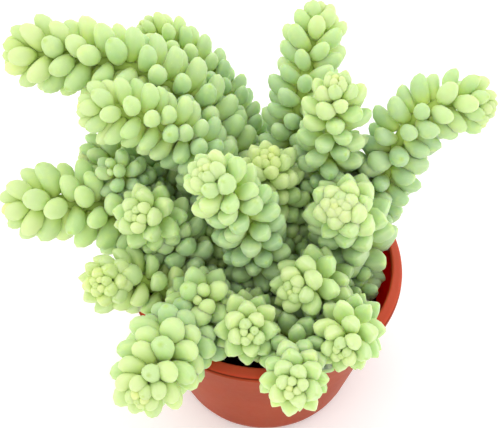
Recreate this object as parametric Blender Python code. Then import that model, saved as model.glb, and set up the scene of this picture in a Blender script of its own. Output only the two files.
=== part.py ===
"""Potted burro's tail: a thin plastic nursery pot, its soil, and leafy succulent stems.

Sizes are in millimetres here and become metres when a mesh is made. The origin is the centre
of the pot's underside, +Z is up, and the long stems reach out to the left and the back.

Each stem is one closed solid with no joins. Its skin is a spiral lattice of four-cornered
cells, one for each leaf, and a leaf is its cell drawn out into a plump bean.
"""

import math
from dataclasses import dataclass

import bmesh
import bpy
import numpy as np
from mathutils.bvhtree import BVHTree

MM = 0.001

# Pot: a thin cone with a lip that slopes outward.
POT_HEIGHT = 78.0
LIP_RADIUS = 60.0
LIP_CREST_RADIUS = 56.0
LIP_DROP = 2.0
LIP_DEPTH = 3.2
WALL = 1.5
WALL_TOP_RADIUS = 58.6
BASE_RADIUS = 35.0
HEEL_RADIUS = 39.4
HEEL_Z = 2.4
FOOT_RADIUS = 41.2
FOOT_Z = 7.0
BASE_THICKNESS = 2.0
POT_SIDES = 40
DRAIN_HOLES = 6
DRAIN_RADIUS = 3.5
DRAIN_CIRCLE = 27.0
DRAIN_SIDES = 8

# Soil: a plug whose top lies well below the lip, a little higher in the middle.
SOIL_EDGE_Z = 50.0
SOIL_RISE = 4.0
SOIL_SIDES = 32
SOIL_BAND = 34.0
CLEARANCE = 0.3
PLANTING_DEPTH = 9.0
HOLE_RADIUS = 3.3
HOLE_SIDES = 6

# Stems.
GOLDEN_ANGLE = math.radians(137.508)
NEXT_NEAR, NEXT_FAR, NEXT_BELOW = 2, 3, 5
CORE_RADIUS = 3.3
CORE_LEAVES = 6.0
BARE_RADIUS = 2.5
BARE_STEP = 9.0
ROUTE_STEP = 0.5
LEAF_SPACING = 2.1
YOUNG_SPACING = 0.25
SPACING_LEAVES = 13.0

# Leaves, which open and grow with their distance from the tip.
YOUNG_LENGTH = 0.18
LENGTH_LEAVES = 7.5
BUD_LEAVES = 6
BUD_ANGLE = math.radians(22)
OPEN_ANGLE = math.radians(68)
ANGLE_LEAVES = 6.5
CURL = math.radians(18)
HALF_WIDTH = 0.35
UPPER_DEPTH = 0.27
LOWER_DEPTH = 0.34
BELLY = 0.43
SHOULDER = 0.41
SHOULDER_SIZE = 0.76

# Leaves that would touch are squeezed a little at a time until they are clear.
SQUEEZE = 0.94
SMALLEST_LEAF = 0.4
SIMPLE_LEAF = 0.55
SIMPLE_BELOW_Z = 84.0
SLIM_LIMIT = 0.6
SLIM_POWER = 0.3
SQUEEZE_ROUNDS = 60


@dataclass
class Stem:
    """A leafy stem: its route from the soil to the tip, its leaf length and where leaves begin."""

    name: str
    route: tuple
    leaf: float
    bare: float
    turn: float = 0.0
    hand: int = 1


STEMS = (
    Stem(
        "stem_long_left",
        ((-8, 28), (-10, 35, 84), (-21, 44, 104), (-34, 51, 125), (-52, 56, 137), (-71, 60, 142),
         (-93, 61, 144), (-111, 62, 145)),
        16.2, 34),
    Stem(
        "stem_back_left",
        ((2, 42), (-8, 58, 90), (-30, 77, 118), (-55, 89, 135)),
        13.0, 24),
    Stem(
        "stem_upper_left",
        ((-16, 14), (-18, 18, 84), (-23, 23, 108), (-32, 27, 125), (-44, 28, 136), (-59, 29, 142),
         (-76, 30, 143)),
        14.0, 24, 0.4, -1),
    Stem(
        "stem_far_left",
        ((-30, 6), (-44, 9, 80), (-66, 12, 98), (-84, 13, 103), (-99, 12, 103), (-111, 9, 100)),
        16.2, 20, 1.0),
    Stem(
        "stem_left_facing",
        ((-24, -7), (-32, -5, 80), (-45, 3, 101), (-53, -9, 121)),
        15.0, 12, 2.0, -1),
    Stem(
        "stem_middle",
        ((-2, -4), (-3, -6, 75), (-5, -6, 100), (-12, -5, 124), (-25, -9, 147)),
        15.0, 16),
    Stem(
        "stem_middle_back",
        ((6, 12), (8, 18, 85), (1, 20, 106), (-3, 20, 124)),
        13.6, 14, 0.8, -1),
    Stem(
        "stem_back_top",
        ((12, 32), (12, 38, 85), (13, 46, 108), (16, 57, 124), (21, 75, 136), (24, 92, 145)),
        14.4, 30, 1.6),
    Stem(
        "stem_back_right",
        ((22, 15), (23, 21, 80), (26, 27, 108), (28, 30, 134), (29, 33, 157)),
        14.4, 20, 2.6, -1),
    Stem(
        "stem_far_right",
        ((34, 21), (45, 27, 86), (54, 31, 106), (60, 37, 122), (72, 43, 130), (86, 45, 131),
         (95, 41, 132)),
        15.2, 20),
    Stem(
        "stem_right_facing",
        ((33, 2), (38, 5, 75), (36, 7, 98), (29.5, -7, 124)),
        17.5, 14, 0.5, -1),
    Stem(
        "stem_front_middle",
        ((20, -9), (25, -13, 78), (19, -23, 92), (11, -33, 102)),
        15.0, 14, 1.2),
    Stem(
        "stem_front_right",
        ((28, -26), (34, -33, 76), (34, -45, 89), (29.5, -60, 97)),
        14.0, 14, 1.9, -1),
    Stem(
        "stem_front_over_lip",
        ((10, -30), (12, -38, 78), (12, -50, 90), (11, -64, 89), (10, -77, 96)),
        14.0, 20, 0.2),
    Stem(
        "stem_front_upright",
        ((-6, -18), (-7, -31, 76), (-8, -42, 88), (-7.5, -54, 101)),
        14.0, 10, 2.2, -1),
    Stem(
        "stem_drooping_left",
        ((-20, -28), (-26, -36, 76), (-31, -43, 89), (-38.5, -51.2, 95), (-44.7, -66.6, 95),
         (-50.6, -80.5, 92)),
        17.0, 22, 0.9),
    Stem(
        "stem_near_left",
        ((-32, -20), (-40, -20, 78), (-52, -18, 87), (-63, -20, 91), (-69, -30, 102)),
        14.0, 16, 1.4, -1),
    Stem(
        "shoot_right",
        ((32, -13), (35, -13, 68), (42.8, -6, 78)),
        9.5, 8, 0.6),
    Stem(
        "shoot_front_left",
        ((-14, -14), (-20, -20, 70), (-27, -26, 82)),
        12.5, 8, 1.1, -1),
    Stem(
        "shoot_middle",
        ((10, 1), (13, 2, 70), (15, 4, 86)),
        11.0, 10, 2.0),
    Stem(
        "shoot_inner_left",
        ((-13, 4), (-19, 6, 72), (-27, 4, 90)),
        11.0, 10, 1.5, -1),
    Stem(
        "stem_behind_left",
        ((-22, 24), (-38, 31, 84), (-62, 35, 102), (-80, 36, 107)),
        13.4, 20, 0.3),
    Stem(
        "shoot_left",
        ((-34, 16), (-46, 21, 84), (-58, 20, 106), (-65, 17, 120)),
        10.5, 30, 2.4, -1),
)


def soil_height(radius):
    """Height of the soil's top at a distance from the middle of the pot."""
    return SOIL_EDGE_Z + SOIL_RISE * (1 - (radius / pot_inner_radius(SOIL_EDGE_Z)) ** 2)


def pot_inner_radius(height):
    """Radius of the pot's inner wall at a height."""
    share = (height - FOOT_Z) / (POT_HEIGHT - FOOT_Z)
    return FOOT_RADIUS - WALL + share * (WALL_TOP_RADIUS - FOOT_RADIUS)


class Route:
    """A smooth curve through a stem's points, measured in mm from the tip, with a steady frame."""

    def __init__(self, stem):
        x, y = stem.route[0]
        soil = soil_height(math.hypot(x, y))
        rooted = [(x, y, soil + rise) for rise in (-PLANTING_DEPTH, -PLANTING_DEPTH / 2, 1.0, 6.0)]
        points = np.array(rooted + list(stem.route[1:]), float)[::-1]
        fine = self.through(points)
        run = np.concatenate([[0.0], np.cumsum(np.linalg.norm(np.diff(fine, axis=0), axis=1))])
        self.length = run[-1]
        self.marks = np.linspace(0.0, self.length, int(self.length / ROUTE_STEP) + 2)
        self.points = np.stack([np.interp(self.marks, run, fine[:, k]) for k in range(3)], axis=1)
        ahead = -np.gradient(self.points, axis=0)
        self.ahead = ahead / np.linalg.norm(ahead, axis=1, keepdims=True)
        self.side = self.carried_side()

    @staticmethod
    def through(points):
        """Points along a Catmull-Rom curve whose knots are spaced by the root of each chord."""
        padded = np.vstack([2 * points[0] - points[1], points, 2 * points[-1] - points[-2]])
        knots = np.cumsum(
            np.concatenate([[0.0], np.sqrt(np.linalg.norm(np.diff(padded, axis=0), axis=1))])
        )
        curve = [points[0]]
        for k in range(1, len(padded) - 2):
            p0, p1, p2, p3 = padded[k - 1:k + 3]
            t0, t1, t2, t3 = knots[k - 1:k + 3]
            for t in np.linspace(t1, t2, 33)[1:]:
                a1 = ((t1 - t) * p0 + (t - t0) * p1) / (t1 - t0)
                a2 = ((t2 - t) * p1 + (t - t1) * p2) / (t2 - t1)
                a3 = ((t3 - t) * p2 + (t - t2) * p3) / (t3 - t2)
                b1 = ((t2 - t) * a1 + (t - t0) * a2) / (t2 - t0)
                b2 = ((t3 - t) * a2 + (t - t1) * a3) / (t3 - t1)
                curve.append(((t2 - t) * b1 + (t - t1) * b2) / (t2 - t1))
        return np.array(curve)

    def carried_side(self):
        """A side direction carried along the curve from the tip without twisting."""
        side = np.cross(self.ahead[0], (0.0, 1.0, 0.3))
        sides = []
        for ahead in self.ahead:
            side = side - ahead * (side @ ahead)
            side = side / np.linalg.norm(side)
            sides.append(side)
        return np.array(sides)

    def at(self, mark):
        """Point, direction to the tip, side and the third axis at a distance from the tip."""
        point, ahead, side = (
            np.array([np.interp(mark, self.marks, rows[:, k]) for k in range(3)])
            for rows in (self.points, self.ahead, self.side)
        )
        ahead = ahead / np.linalg.norm(ahead)
        side = side - ahead * (side @ ahead)
        side = side / np.linalg.norm(side)
        return point, ahead, side, np.cross(ahead, side)


def shortening(squeeze):
    """How much of its length a squeezed leaf keeps: it slims first and shortens later."""
    slim = max(squeeze, SLIM_LIMIT)
    return slim ** SLIM_POWER * min(squeeze / SLIM_LIMIT, 1.0)


class StemMesh:
    """Points and faces of one stem, and which leaf each face belongs to."""

    def __init__(self, stem):
        self.stem = stem
        self.route = Route(stem)
        self.marks = self.corner_marks()
        self.count = len(self.marks) - NEXT_BELOW
        self.corners = np.array([self.corner(k) for k in range(len(self.marks))])
        self.squeeze = np.ones(self.count)
        self.build()

    def corner_marks(self):
        """Distance from the tip of each lattice corner, close together at the young tip."""
        marks = [0.35]
        while marks[-1] < self.route.length - PLANTING_DEPTH - self.stem.bare:
            age = 1 - math.exp(-(len(marks) / SPACING_LEAVES) ** 2)
            marks.append(marks[-1] + YOUNG_SPACING + (LEAF_SPACING - YOUNG_SPACING) * age)
        return np.array(marks)

    def corner(self, k):
        point, _, side, third = self.route.at(self.marks[k])
        angle = self.stem.turn + self.stem.hand * GOLDEN_ANGLE * k
        radius = CORE_RADIUS * math.sqrt(1 - math.exp(-(k + 1) / CORE_LEAVES))
        return point + radius * (math.cos(angle) * side + math.sin(angle) * third)

    def leaf(self, k):
        """The belly ring, the shoulder ring and the tip of leaf k, each ring from its upper side."""
        cell = self.corners[[k, k + NEXT_NEAR, k + NEXT_BELOW, k + NEXT_FAR]]
        root = cell.mean(axis=0)
        axis_point, ahead, _, _ = self.route.at(self.marks[k:k + NEXT_BELOW + 1].mean())
        out = root - axis_point
        out = out - ahead * (out @ ahead)
        out = out / np.linalg.norm(out)
        across = np.cross(ahead, out) * self.stem.hand
        grown = 1 - math.exp(-k / LENGTH_LEAVES)
        length = self.stem.leaf * (YOUNG_LENGTH + (1 - YOUNG_LENGTH) * grown)
        girth = length * self.squeeze[k]
        length *= shortening(self.squeeze[k])
        open_angle = BUD_ANGLE + (OPEN_ANGLE - BUD_ANGLE) * (1 - math.exp(-k / ANGLE_LEAVES))

        def heading(angle):
            return ahead * math.cos(angle) + out * math.sin(angle)

        belly = root + length * BELLY * heading(open_angle + CURL / 3)
        shoulder = belly + length * SHOULDER * heading(open_angle - CURL / 3)
        tip = shoulder + length * (1 - BELLY - SHOULDER) * heading(open_angle - CURL)
        upward = ahead * math.sin(open_angle) - out * math.cos(open_angle)
        points = []
        for middle, share in ((belly, 1.0), (shoulder, SHOULDER_SIZE)):
            points.append(middle + upward * girth * UPPER_DEPTH * share)
            points.append(middle - across * girth * HALF_WIDTH * share)
            points.append(middle - upward * girth * LOWER_DEPTH * share)
            points.append(middle + across * girth * HALF_WIDTH * share)
        return points + [tip]

    def build(self):
        """Makes the points and faces again, after a squeeze."""
        points = list(self.corners)
        faces, owners = [], []

        def add(owner, *corners):
            faces.append(corners if self.stem.hand > 0 else corners[::-1])
            owners.append(owner)

        for k in range(self.count):
            first = len(points)
            cell = (k, k + NEXT_NEAR, k + NEXT_BELOW, k + NEXT_FAR)
            if self.squeeze[k] < SMALLEST_LEAF:
                add(k, cell[0], cell[1], cell[2])
                add(k, cell[0], cell[2], cell[3])
                continue
            leaf = self.leaf(k)
            low_down = leaf[0][2] < SIMPLE_BELOW_Z and k > 2 * BUD_LEAVES
            if k < BUD_LEAVES or self.squeeze[k] < SIMPLE_LEAF or low_down:
                leaf = leaf[:4] + leaf[-1:]
            points += leaf
            rings = [cell] + [range(low, low + 4) for low in range(first, len(points) - 1, 4)]
            for low, high in zip(rings, rings[1:]):
                for a in range(4):
                    b = (a + 1) % 4
                    add(k, low[a], low[b], high[b])
                    add(k, low[a], high[b], high[a])
            for a in range(4):
                add(k, rings[-1][a], rings[-1][(a + 1) % 4], len(points) - 1)

        order = (0, 2, 4, 1, 3)
        point, ahead, _, _ = self.route.at(0.0)
        points.append(point + ahead * 1.5)
        for a in range(5):
            add(-1, order[(a + 1) % 5], order[a], len(points) - 1)

        ring = [self.count + k for k in order]
        end = self.route.length
        steps = max(2, round((end - self.marks[-1]) / BARE_STEP))
        angles = [self.stem.turn + self.stem.hand * GOLDEN_ANGLE * k for k in ring]
        for mark in np.linspace(self.marks[-1] + 4.0, end, steps + 1):
            point, _, side, third = self.route.at(mark)
            below = []
            for angle in angles:
                below.append(len(points))
                reach = math.cos(angle) * side + math.sin(angle) * third
                points.append(point + BARE_RADIUS * reach)
            for a in range(5):
                b = (a + 1) % 5
                add(-2, ring[a], ring[b], below[b])
                add(-2, ring[a], below[b], below[a])
            ring = below
        points.append(self.route.at(end)[0])
        for a in range(5):
            add(-2, ring[a], ring[(a + 1) % 5], len(points) - 1)
        self.points = np.array(points)
        self.faces = faces
        self.owners = np.array(owners)

    def swollen(self, amount):
        """The points moved out from the surface by an amount."""
        normals = np.zeros_like(self.points)
        corners = np.array(self.faces)
        a, b, c = (self.points[corners[:, k]] for k in range(3))
        across = np.cross(b - a, c - a)
        for k in range(3):
            np.add.at(normals, corners[:, k], across)
        return self.points + amount * normals / np.linalg.norm(normals, axis=1, keepdims=True)


def turned(profile, sides):
    """Points and faces of a closed profile of (radius, height) turned about the Z axis."""
    points, faces, rings = [], [], []
    for radius, height in profile:
        first = len(points)
        if radius == 0:
            points.append((0.0, 0.0, height))
            rings.append([first] * sides)
            continue
        for k in range(sides):
            angle = 2 * math.pi * k / sides
            points.append((radius * math.cos(angle), radius * math.sin(angle), height))
        rings.append(list(range(first, first + sides)))
    for low, high in zip(rings, rings[1:]):
        for a in range(sides):
            b = (a + 1) % sides
            corners = dict.fromkeys((low[a], low[b], high[b], high[a]))
            if len(corners) > 2:
                faces.append(tuple(corners))
    return np.array(points, float), faces


def pot_profile():
    """The pot's section, from the middle of the underside up the outside and down the inside."""
    lip_under = POT_HEIGHT - LIP_DROP - LIP_DEPTH
    inner_top = pot_inner_radius(POT_HEIGHT - LIP_DEPTH)
    return (
        (0, 0),
        (BASE_RADIUS, 0),
        (HEEL_RADIUS, HEEL_Z),
        (FOOT_RADIUS, FOOT_Z),
        (WALL_TOP_RADIUS - 0.5, lip_under),
        (LIP_RADIUS, lip_under + 0.8),
        (LIP_RADIUS, POT_HEIGHT - LIP_DROP),
        (LIP_CREST_RADIUS, POT_HEIGHT),
        (LIP_CREST_RADIUS - 0.8, POT_HEIGHT - 0.8),
        (inner_top - 0.6, POT_HEIGHT - LIP_DEPTH - 6),
        (FOOT_RADIUS - WALL, FOOT_Z),
        (BASE_RADIUS - 0.5, BASE_THICKNESS),
        (0, BASE_THICKNESS),
    )


def soil_profile():
    edge = pot_inner_radius(SOIL_EDGE_Z) - CLEARANCE - 0.4
    floor = BASE_THICKNESS + CLEARANCE
    return (
        (0, floor),
        (BASE_RADIUS - 1.4, floor),
        (pot_inner_radius(FOOT_Z) - CLEARANCE - 0.4, FOOT_Z + CLEARANCE),
        (edge, SOIL_EDGE_Z),
        (SOIL_BAND, soil_height(SOIL_BAND)),
        (0, soil_height(0)),
    )


def squeeze_apart(stems, fixed):
    """Squeezes leaves until none crosses another, another stem's, the pot or the soil."""
    for _ in range(SQUEEZE_ROUNDS):
        touching = set()
        for number, mesh in enumerate(stems):
            tree = BVHTree.FromPolygons(mesh.points, mesh.faces, all_triangles=True)
            for first, second in tree.overlap(tree):
                touching.add((number, mesh.owners[first]))
                touching.add((number, mesh.owners[second]))
        points, faces, whose, start = [], [], [], 0
        for number, mesh in enumerate(stems):
            points.append(mesh.swollen(CLEARANCE / 2))
            faces += [tuple(start + k for k in face) for face in mesh.faces]
            whose += [(number, owner) for owner in mesh.owners]
            start += len(mesh.points)
        tree = BVHTree.FromPolygons(np.vstack(points), faces, all_triangles=True)
        for first, second in tree.overlap(tree):
            if whose[first][0] != whose[second][0]:
                touching.add(whose[first])
                touching.add(whose[second])
        for other in fixed:
            for first, _ in tree.overlap(other):
                touching.add(whose[first])
        leaves = {(number, owner) for number, owner in touching if owner >= 0}
        if not leaves:
            break
        for number, owner in leaves:
            stems[number].squeeze[owner] *= SQUEEZE
        for number in {number for number, _ in leaves}:
            stems[number].build()


def make_object(name, points, faces, material, flat=False):
    """A mesh object in metres from points in millimetres."""
    mesh = bpy.data.meshes.new(name)
    mesh.from_pydata([tuple(float(v) * MM for v in p) for p in points], [], [tuple(f) for f in faces])
    mesh.materials.append(material)
    mesh.update()
    body = bmesh.new()
    body.from_mesh(mesh)
    bmesh.ops.recalc_face_normals(body, faces=body.faces)
    body.to_mesh(mesh)
    body.free()
    for polygon in mesh.polygons:
        polygon.use_smooth = not flat
    obj = bpy.data.objects.new(name, mesh)
    bpy.context.scene.collection.objects.link(obj)
    return obj


def make_material(name, colour, roughness):
    material = bpy.data.materials.new(name)
    material.use_nodes = True
    shader = material.node_tree.nodes["Principled BSDF"]
    shader.inputs["Base Color"].default_value = (*colour, 1.0)
    shader.inputs["Roughness"].default_value = roughness
    material.diffuse_color = (*colour, 1.0)
    return material


def cut(target, places, radius, sides, low, high):
    """Cuts upright holes through an object at the given (x, y) places."""
    cutters = bpy.data.collections.new(target.name + "_holes")
    for k, (x, y) in enumerate(places):
        points, faces = turned(((0, low), (radius, low), (radius, high), (0, high)), sides)
        hole = make_object(f"{target.name}_hole_{k}", points + (x, y, 0), faces, target.data.materials[0])
        bpy.context.scene.collection.objects.unlink(hole)
        cutters.objects.link(hole)
    bpy.context.scene.collection.children.link(cutters)
    modifier = target.modifiers.new("holes", "BOOLEAN")
    modifier.operation = "DIFFERENCE"
    modifier.operand_type = "COLLECTION"
    modifier.collection = cutters
    modifier.solver = "EXACT"
    bpy.context.view_layer.objects.active = target
    bpy.context.view_layer.update()
    bpy.ops.object.modifier_apply(modifier=modifier.name)
    for hole in list(cutters.objects):
        bpy.data.objects.remove(hole, do_unlink=True)
    bpy.data.collections.remove(cutters)


def main():
    for obj in list(bpy.data.objects):
        bpy.data.objects.remove(obj, do_unlink=True)

    pot_points, pot_faces = turned(pot_profile(), POT_SIDES)
    soil_points, soil_faces = turned(soil_profile(), SOIL_SIDES)
    fixed = [
        BVHTree.FromPolygons(pot_points, pot_faces),
        BVHTree.FromPolygons(soil_points + (0, 0, CLEARANCE), soil_faces),
    ]
    stems = [StemMesh(stem) for stem in STEMS]
    squeeze_apart(stems, fixed)

    terracotta = make_material("terracotta_plastic", (0.42, 0.09, 0.05), 0.45)
    earth = make_material("potting_soil", (0.02, 0.014, 0.01), 0.95)
    pot = make_object("pot", pot_points, pot_faces, terracotta, flat=True)
    drains = [
        (
            DRAIN_CIRCLE * math.cos(2 * math.pi * k / DRAIN_HOLES),
            DRAIN_CIRCLE * math.sin(2 * math.pi * k / DRAIN_HOLES),
        )
        for k in range(DRAIN_HOLES)
    ]
    cut(pot, drains, DRAIN_RADIUS, DRAIN_SIDES, -3.0, BASE_THICKNESS + 3.0)
    soil = make_object("soil", soil_points, soil_faces, earth, flat=True)
    for stem in STEMS:
        x, y = stem.route[0]
        top = soil_height(math.hypot(x, y))
        cut(soil, [(x, y)], HOLE_RADIUS, HOLE_SIDES, top - PLANTING_DEPTH - CLEARANCE, top + 6.0)
    for mesh in stems:
        green = make_material(mesh.stem.name + "_leaves", (0.42, 0.62, 0.24), 0.5)
        make_object(mesh.stem.name, mesh.points, mesh.faces, green)


if __name__ == "__main__":
    main()
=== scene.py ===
"""Looks for a potted burro's tail: plump leaves on trailing stems, a nursery pot and its soil.

Lengths are in millimetres in the classes below and become metres when a mesh is made. The frame
gives the CAD solids; each is replaced by a finer piece that stands in the same place.
"""

from __future__ import annotations

import logging
import math
from dataclasses import dataclass, field, fields
from enum import Enum
from typing import Any

import bpy
import numpy as np
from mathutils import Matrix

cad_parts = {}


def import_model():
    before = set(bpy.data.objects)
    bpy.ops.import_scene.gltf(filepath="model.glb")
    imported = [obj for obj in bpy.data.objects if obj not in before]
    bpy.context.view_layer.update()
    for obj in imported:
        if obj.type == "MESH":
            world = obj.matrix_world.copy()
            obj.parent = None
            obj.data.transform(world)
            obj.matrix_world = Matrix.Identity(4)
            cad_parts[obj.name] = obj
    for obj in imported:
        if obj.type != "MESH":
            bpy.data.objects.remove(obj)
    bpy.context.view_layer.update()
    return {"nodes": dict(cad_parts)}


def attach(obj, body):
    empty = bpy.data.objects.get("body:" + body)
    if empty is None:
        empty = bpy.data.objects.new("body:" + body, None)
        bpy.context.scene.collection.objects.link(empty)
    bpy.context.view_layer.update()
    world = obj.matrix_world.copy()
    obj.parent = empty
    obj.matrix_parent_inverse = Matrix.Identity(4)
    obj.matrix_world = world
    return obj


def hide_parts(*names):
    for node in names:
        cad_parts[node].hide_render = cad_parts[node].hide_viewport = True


LOG = logging.getLogger("burros_tail")
MM = 0.001
GOLDEN_ANGLE = math.radians(137.508)
SEED = 20
BODY = "root"
# A length in mm that counts as none. Added to a distance, it makes it safe to divide by.
TINY = 1e-6
# A place on a Color Ramp and its sRGB hex colour.
Stop = tuple[float, str]


class Slot(Enum):
    """Names of the material slots."""

    PLASTIC = "terracotta_plastic"
    SOIL = "potting_soil"
    LEAF = "succulent_leaf"


def linear(hex_colour: str) -> tuple[float, float, float, float]:
    """Turns an sRGB hex colour into the linear RGBA that a shader takes.

    Args:
        hex_colour: six hex digits after a hash sign.

    Returns:
        Linear red, green and blue, and an alpha of 1.
    """
    shares = [int(hex_colour[k:k + 2], 16) / 255 for k in (1, 3, 5)]
    red, green, blue = (
        share / 12.92 if share <= 0.04045 else ((share + 0.055) / 1.055) ** 2.4 for share in shares
    )
    return red, green, blue, 1.0


def add_node(
    tree: bpy.types.NodeTree,
    kind: str,
    inputs: dict[str | int, Any] | None = None,
    **settings: Any,
) -> bpy.types.Node:
    """Adds a shader node with its settings and its links.

    Args:
        tree: the node tree that takes the node.
        kind: the node's type name without its ShaderNode beginning.
        inputs: a value, or a socket to link from, for each input by name or number.
        **settings: the node's own properties.

    Returns:
        The new node.
    """
    node = tree.nodes.new("ShaderNode" + kind)
    for name, value in settings.items():
        setattr(node, name, value)
    set_inputs(tree, node, inputs or {})
    return node


def set_inputs(
    tree: bpy.types.NodeTree, node: bpy.types.Node, inputs: dict[str | int, Any]
) -> None:
    """Links each input of a node whose value is a socket, and sets the others.

    Args:
        tree: the node's tree.
        node: the node.
        inputs: a value, or a socket to link from, for each input by name or number.
    """
    for name, value in inputs.items():
        if isinstance(value, bpy.types.NodeSocket):
            tree.links.new(value, node.inputs[name])
        else:
            node.inputs[name].default_value = value


def set_ramp(node: bpy.types.Node, stops: tuple[Stop, ...]) -> None:
    """Gives a Color Ramp its stops.

    Args:
        node: the Color Ramp node.
        stops: place and sRGB hex colour of each stop, in order.
    """
    elements = node.color_ramp.elements
    while len(elements) < len(stops):
        elements.new(1.0)
    for element, (place, colour) in zip(elements, stops):
        element.position = place
        element.color = linear(colour)


def new_material(name: str) -> tuple[bpy.types.Material, bpy.types.NodeTree, bpy.types.Node]:
    """Makes a material with a Principled shader.

    Args:
        name: the real material's name.

    Returns:
        The material, its node tree and its Principled shader.
    """
    material = bpy.data.materials.new(name)
    material.use_nodes = True
    tree = material.node_tree
    return material, tree, tree.nodes["Principled BSDF"]


def make_piece(
    name: str,
    points: np.ndarray,
    quads: np.ndarray,
    triangles: np.ndarray,
    materials: list[bpy.types.Material],
    attributes: dict[str, np.ndarray] | None = None,
    face_materials: np.ndarray | None = None,
) -> bpy.types.Object:
    """Puts arrays into a smooth mesh object at the origin.

    Args:
        name: the piece's name.
        points: (n, 3) places in millimetres.
        quads: (q, 4) corner numbers.
        triangles: (t, 3) corner numbers.
        materials: the piece's finishes.
        attributes: values of each named point attribute.
        face_materials: number of the finish of each face, quads first.

    Returns:
        The linked object.
    """
    mesh = bpy.data.meshes.new(name)
    corners = np.concatenate([quads.ravel(), triangles.ravel()]).astype(np.int32)
    starts = np.concatenate(
        [np.arange(len(quads)) * 4, 4 * len(quads) + np.arange(len(triangles)) * 3]
    ).astype(np.int32)
    mesh.vertices.add(len(points))
    mesh.vertices.foreach_set("co", (points * MM).astype(np.float32).ravel())
    mesh.loops.add(len(corners))
    mesh.loops.foreach_set("vertex_index", corners)
    mesh.polygons.add(len(starts))
    mesh.polygons.foreach_set("loop_start", starts)
    mesh.polygons.foreach_set("use_smooth", np.ones(len(starts), bool))
    for material in materials:
        mesh.materials.append(material)
    if face_materials is not None:
        mesh.polygons.foreach_set("material_index", face_materials.astype(np.int32))
    mesh.update(calc_edges=True)
    mesh.validate()
    for key, values in (attributes or {}).items():
        layer = mesh.attributes.new(key, "FLOAT", "POINT")
        layer.data.foreach_set("value", values.astype(np.float32).ravel())
    piece = bpy.data.objects.new(name, mesh)
    bpy.context.scene.collection.objects.link(piece)
    return piece


def shell_faces(rings: int, sides: int, flipped: bool = False) -> tuple[np.ndarray, np.ndarray]:
    """Faces of a shell of rings of points, closed at each end round a middle point.

    The points come ring by ring, then the first ring's middle and the last one's.

    Args:
        rings: how many rings.
        sides: points in each ring.
        flipped: whether the rings follow each other against the axis that their points turn
            about, not along it. Either way the faces point outward.

    Returns:
        Corner numbers of the quads between the rings, and of the triangles at the ends.
    """
    ring, side = np.meshgrid(np.arange(rings - 1), np.arange(sides), indexing="ij")
    after = (side + 1) % sides
    low, high = ring * sides, (ring + 1) * sides
    quads = np.stack([low + side, low + after, high + after, high + side], axis=-1).reshape(-1, 4)
    side = np.arange(sides)
    after = (side + 1) % sides
    middle, last = rings * sides, (rings - 1) * sides
    triangles = np.vstack(
        [
            np.stack([np.full(sides, middle), after, side], axis=1),
            np.stack([np.full(sides, middle + 1), last + side, last + after], axis=1),
        ]
    )
    if flipped:
        return quads[:, ::-1], triangles[:, [0, 2, 1]]
    return quads, triangles


def turns(count: int) -> np.ndarray:
    """Angles of points spaced evenly round a circle."""
    return np.arange(count) * 2 * np.pi / count


def polar(radius: np.ndarray | float, angle: np.ndarray, height: np.ndarray | float) -> np.ndarray:
    """Places (r cos a, r sin a, h), for sizes and angles that broadcast together."""
    radius, angle, height = np.broadcast_arrays(radius, angle, height)
    return np.stack([radius * np.cos(angle), radius * np.sin(angle), height], axis=-1)


def unit(vectors: np.ndarray) -> np.ndarray:
    """Vectors of length one in the same directions."""
    return vectors / np.linalg.norm(vectors, axis=-1, keepdims=True)


def fade(low: float, high: float, values: np.ndarray) -> np.ndarray:
    """A smooth step from 0 at low to 1 at high."""
    share = np.clip((values - low) / (high - low), 0.0, 1.0)
    return share * share * (3 - 2 * share)


def hand_over(piece: bpy.types.Object, node: str) -> None:
    """Puts a piece on the object's body, in place of a CAD node.

    Args:
        piece: the finished piece.
        node: the CAD node that it stands for.
    """
    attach(piece, BODY)
    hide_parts(node)
    LOG.info("%s: %d faces", piece.name, len(piece.data.polygons))


@dataclass(frozen=True)
class Span:
    """How a value turns into another: from start at low to end at high, and no further."""

    low: float
    high: float
    start: float
    end: float

    def of(self, value: bpy.types.NodeSocket) -> dict[str, Any]:
        """Inputs of a Map Range node that turns a value so."""
        names = ("Value", "From Min", "From Max", "To Min", "To Max")
        return dict(zip(names, (value, self.low, self.high, self.start, self.end)))


@dataclass(frozen=True)
class Grain:
    """A random pattern in a surface.

    Attributes:
        size_mm: width of its spots.
        detail: how many finer layers it has.
        strength: how far its relief shows.
        height_mm: height of its relief.
        rough: how strong the finer layers are.
    """

    size_mm: float
    detail: float
    strength: float = 0.0
    height_mm: float = 0.0
    rough: float = 0.5

    def at(self, place: bpy.types.NodeSocket) -> dict[str, Any]:
        """Inputs of a Noise Texture node that draws the pattern."""
        scale = 1 / (self.size_mm * MM)
        return {"Vector": place, "Scale": scale, "Detail": self.detail, "Roughness": self.rough}

    def relief(self, pattern: bpy.types.NodeSocket) -> dict[str, Any]:
        """Inputs of a Bump node that raises the pattern."""
        return {
            "Height": pattern, "Strength": self.strength, "Distance": self.height_mm * MM,
        }


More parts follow.
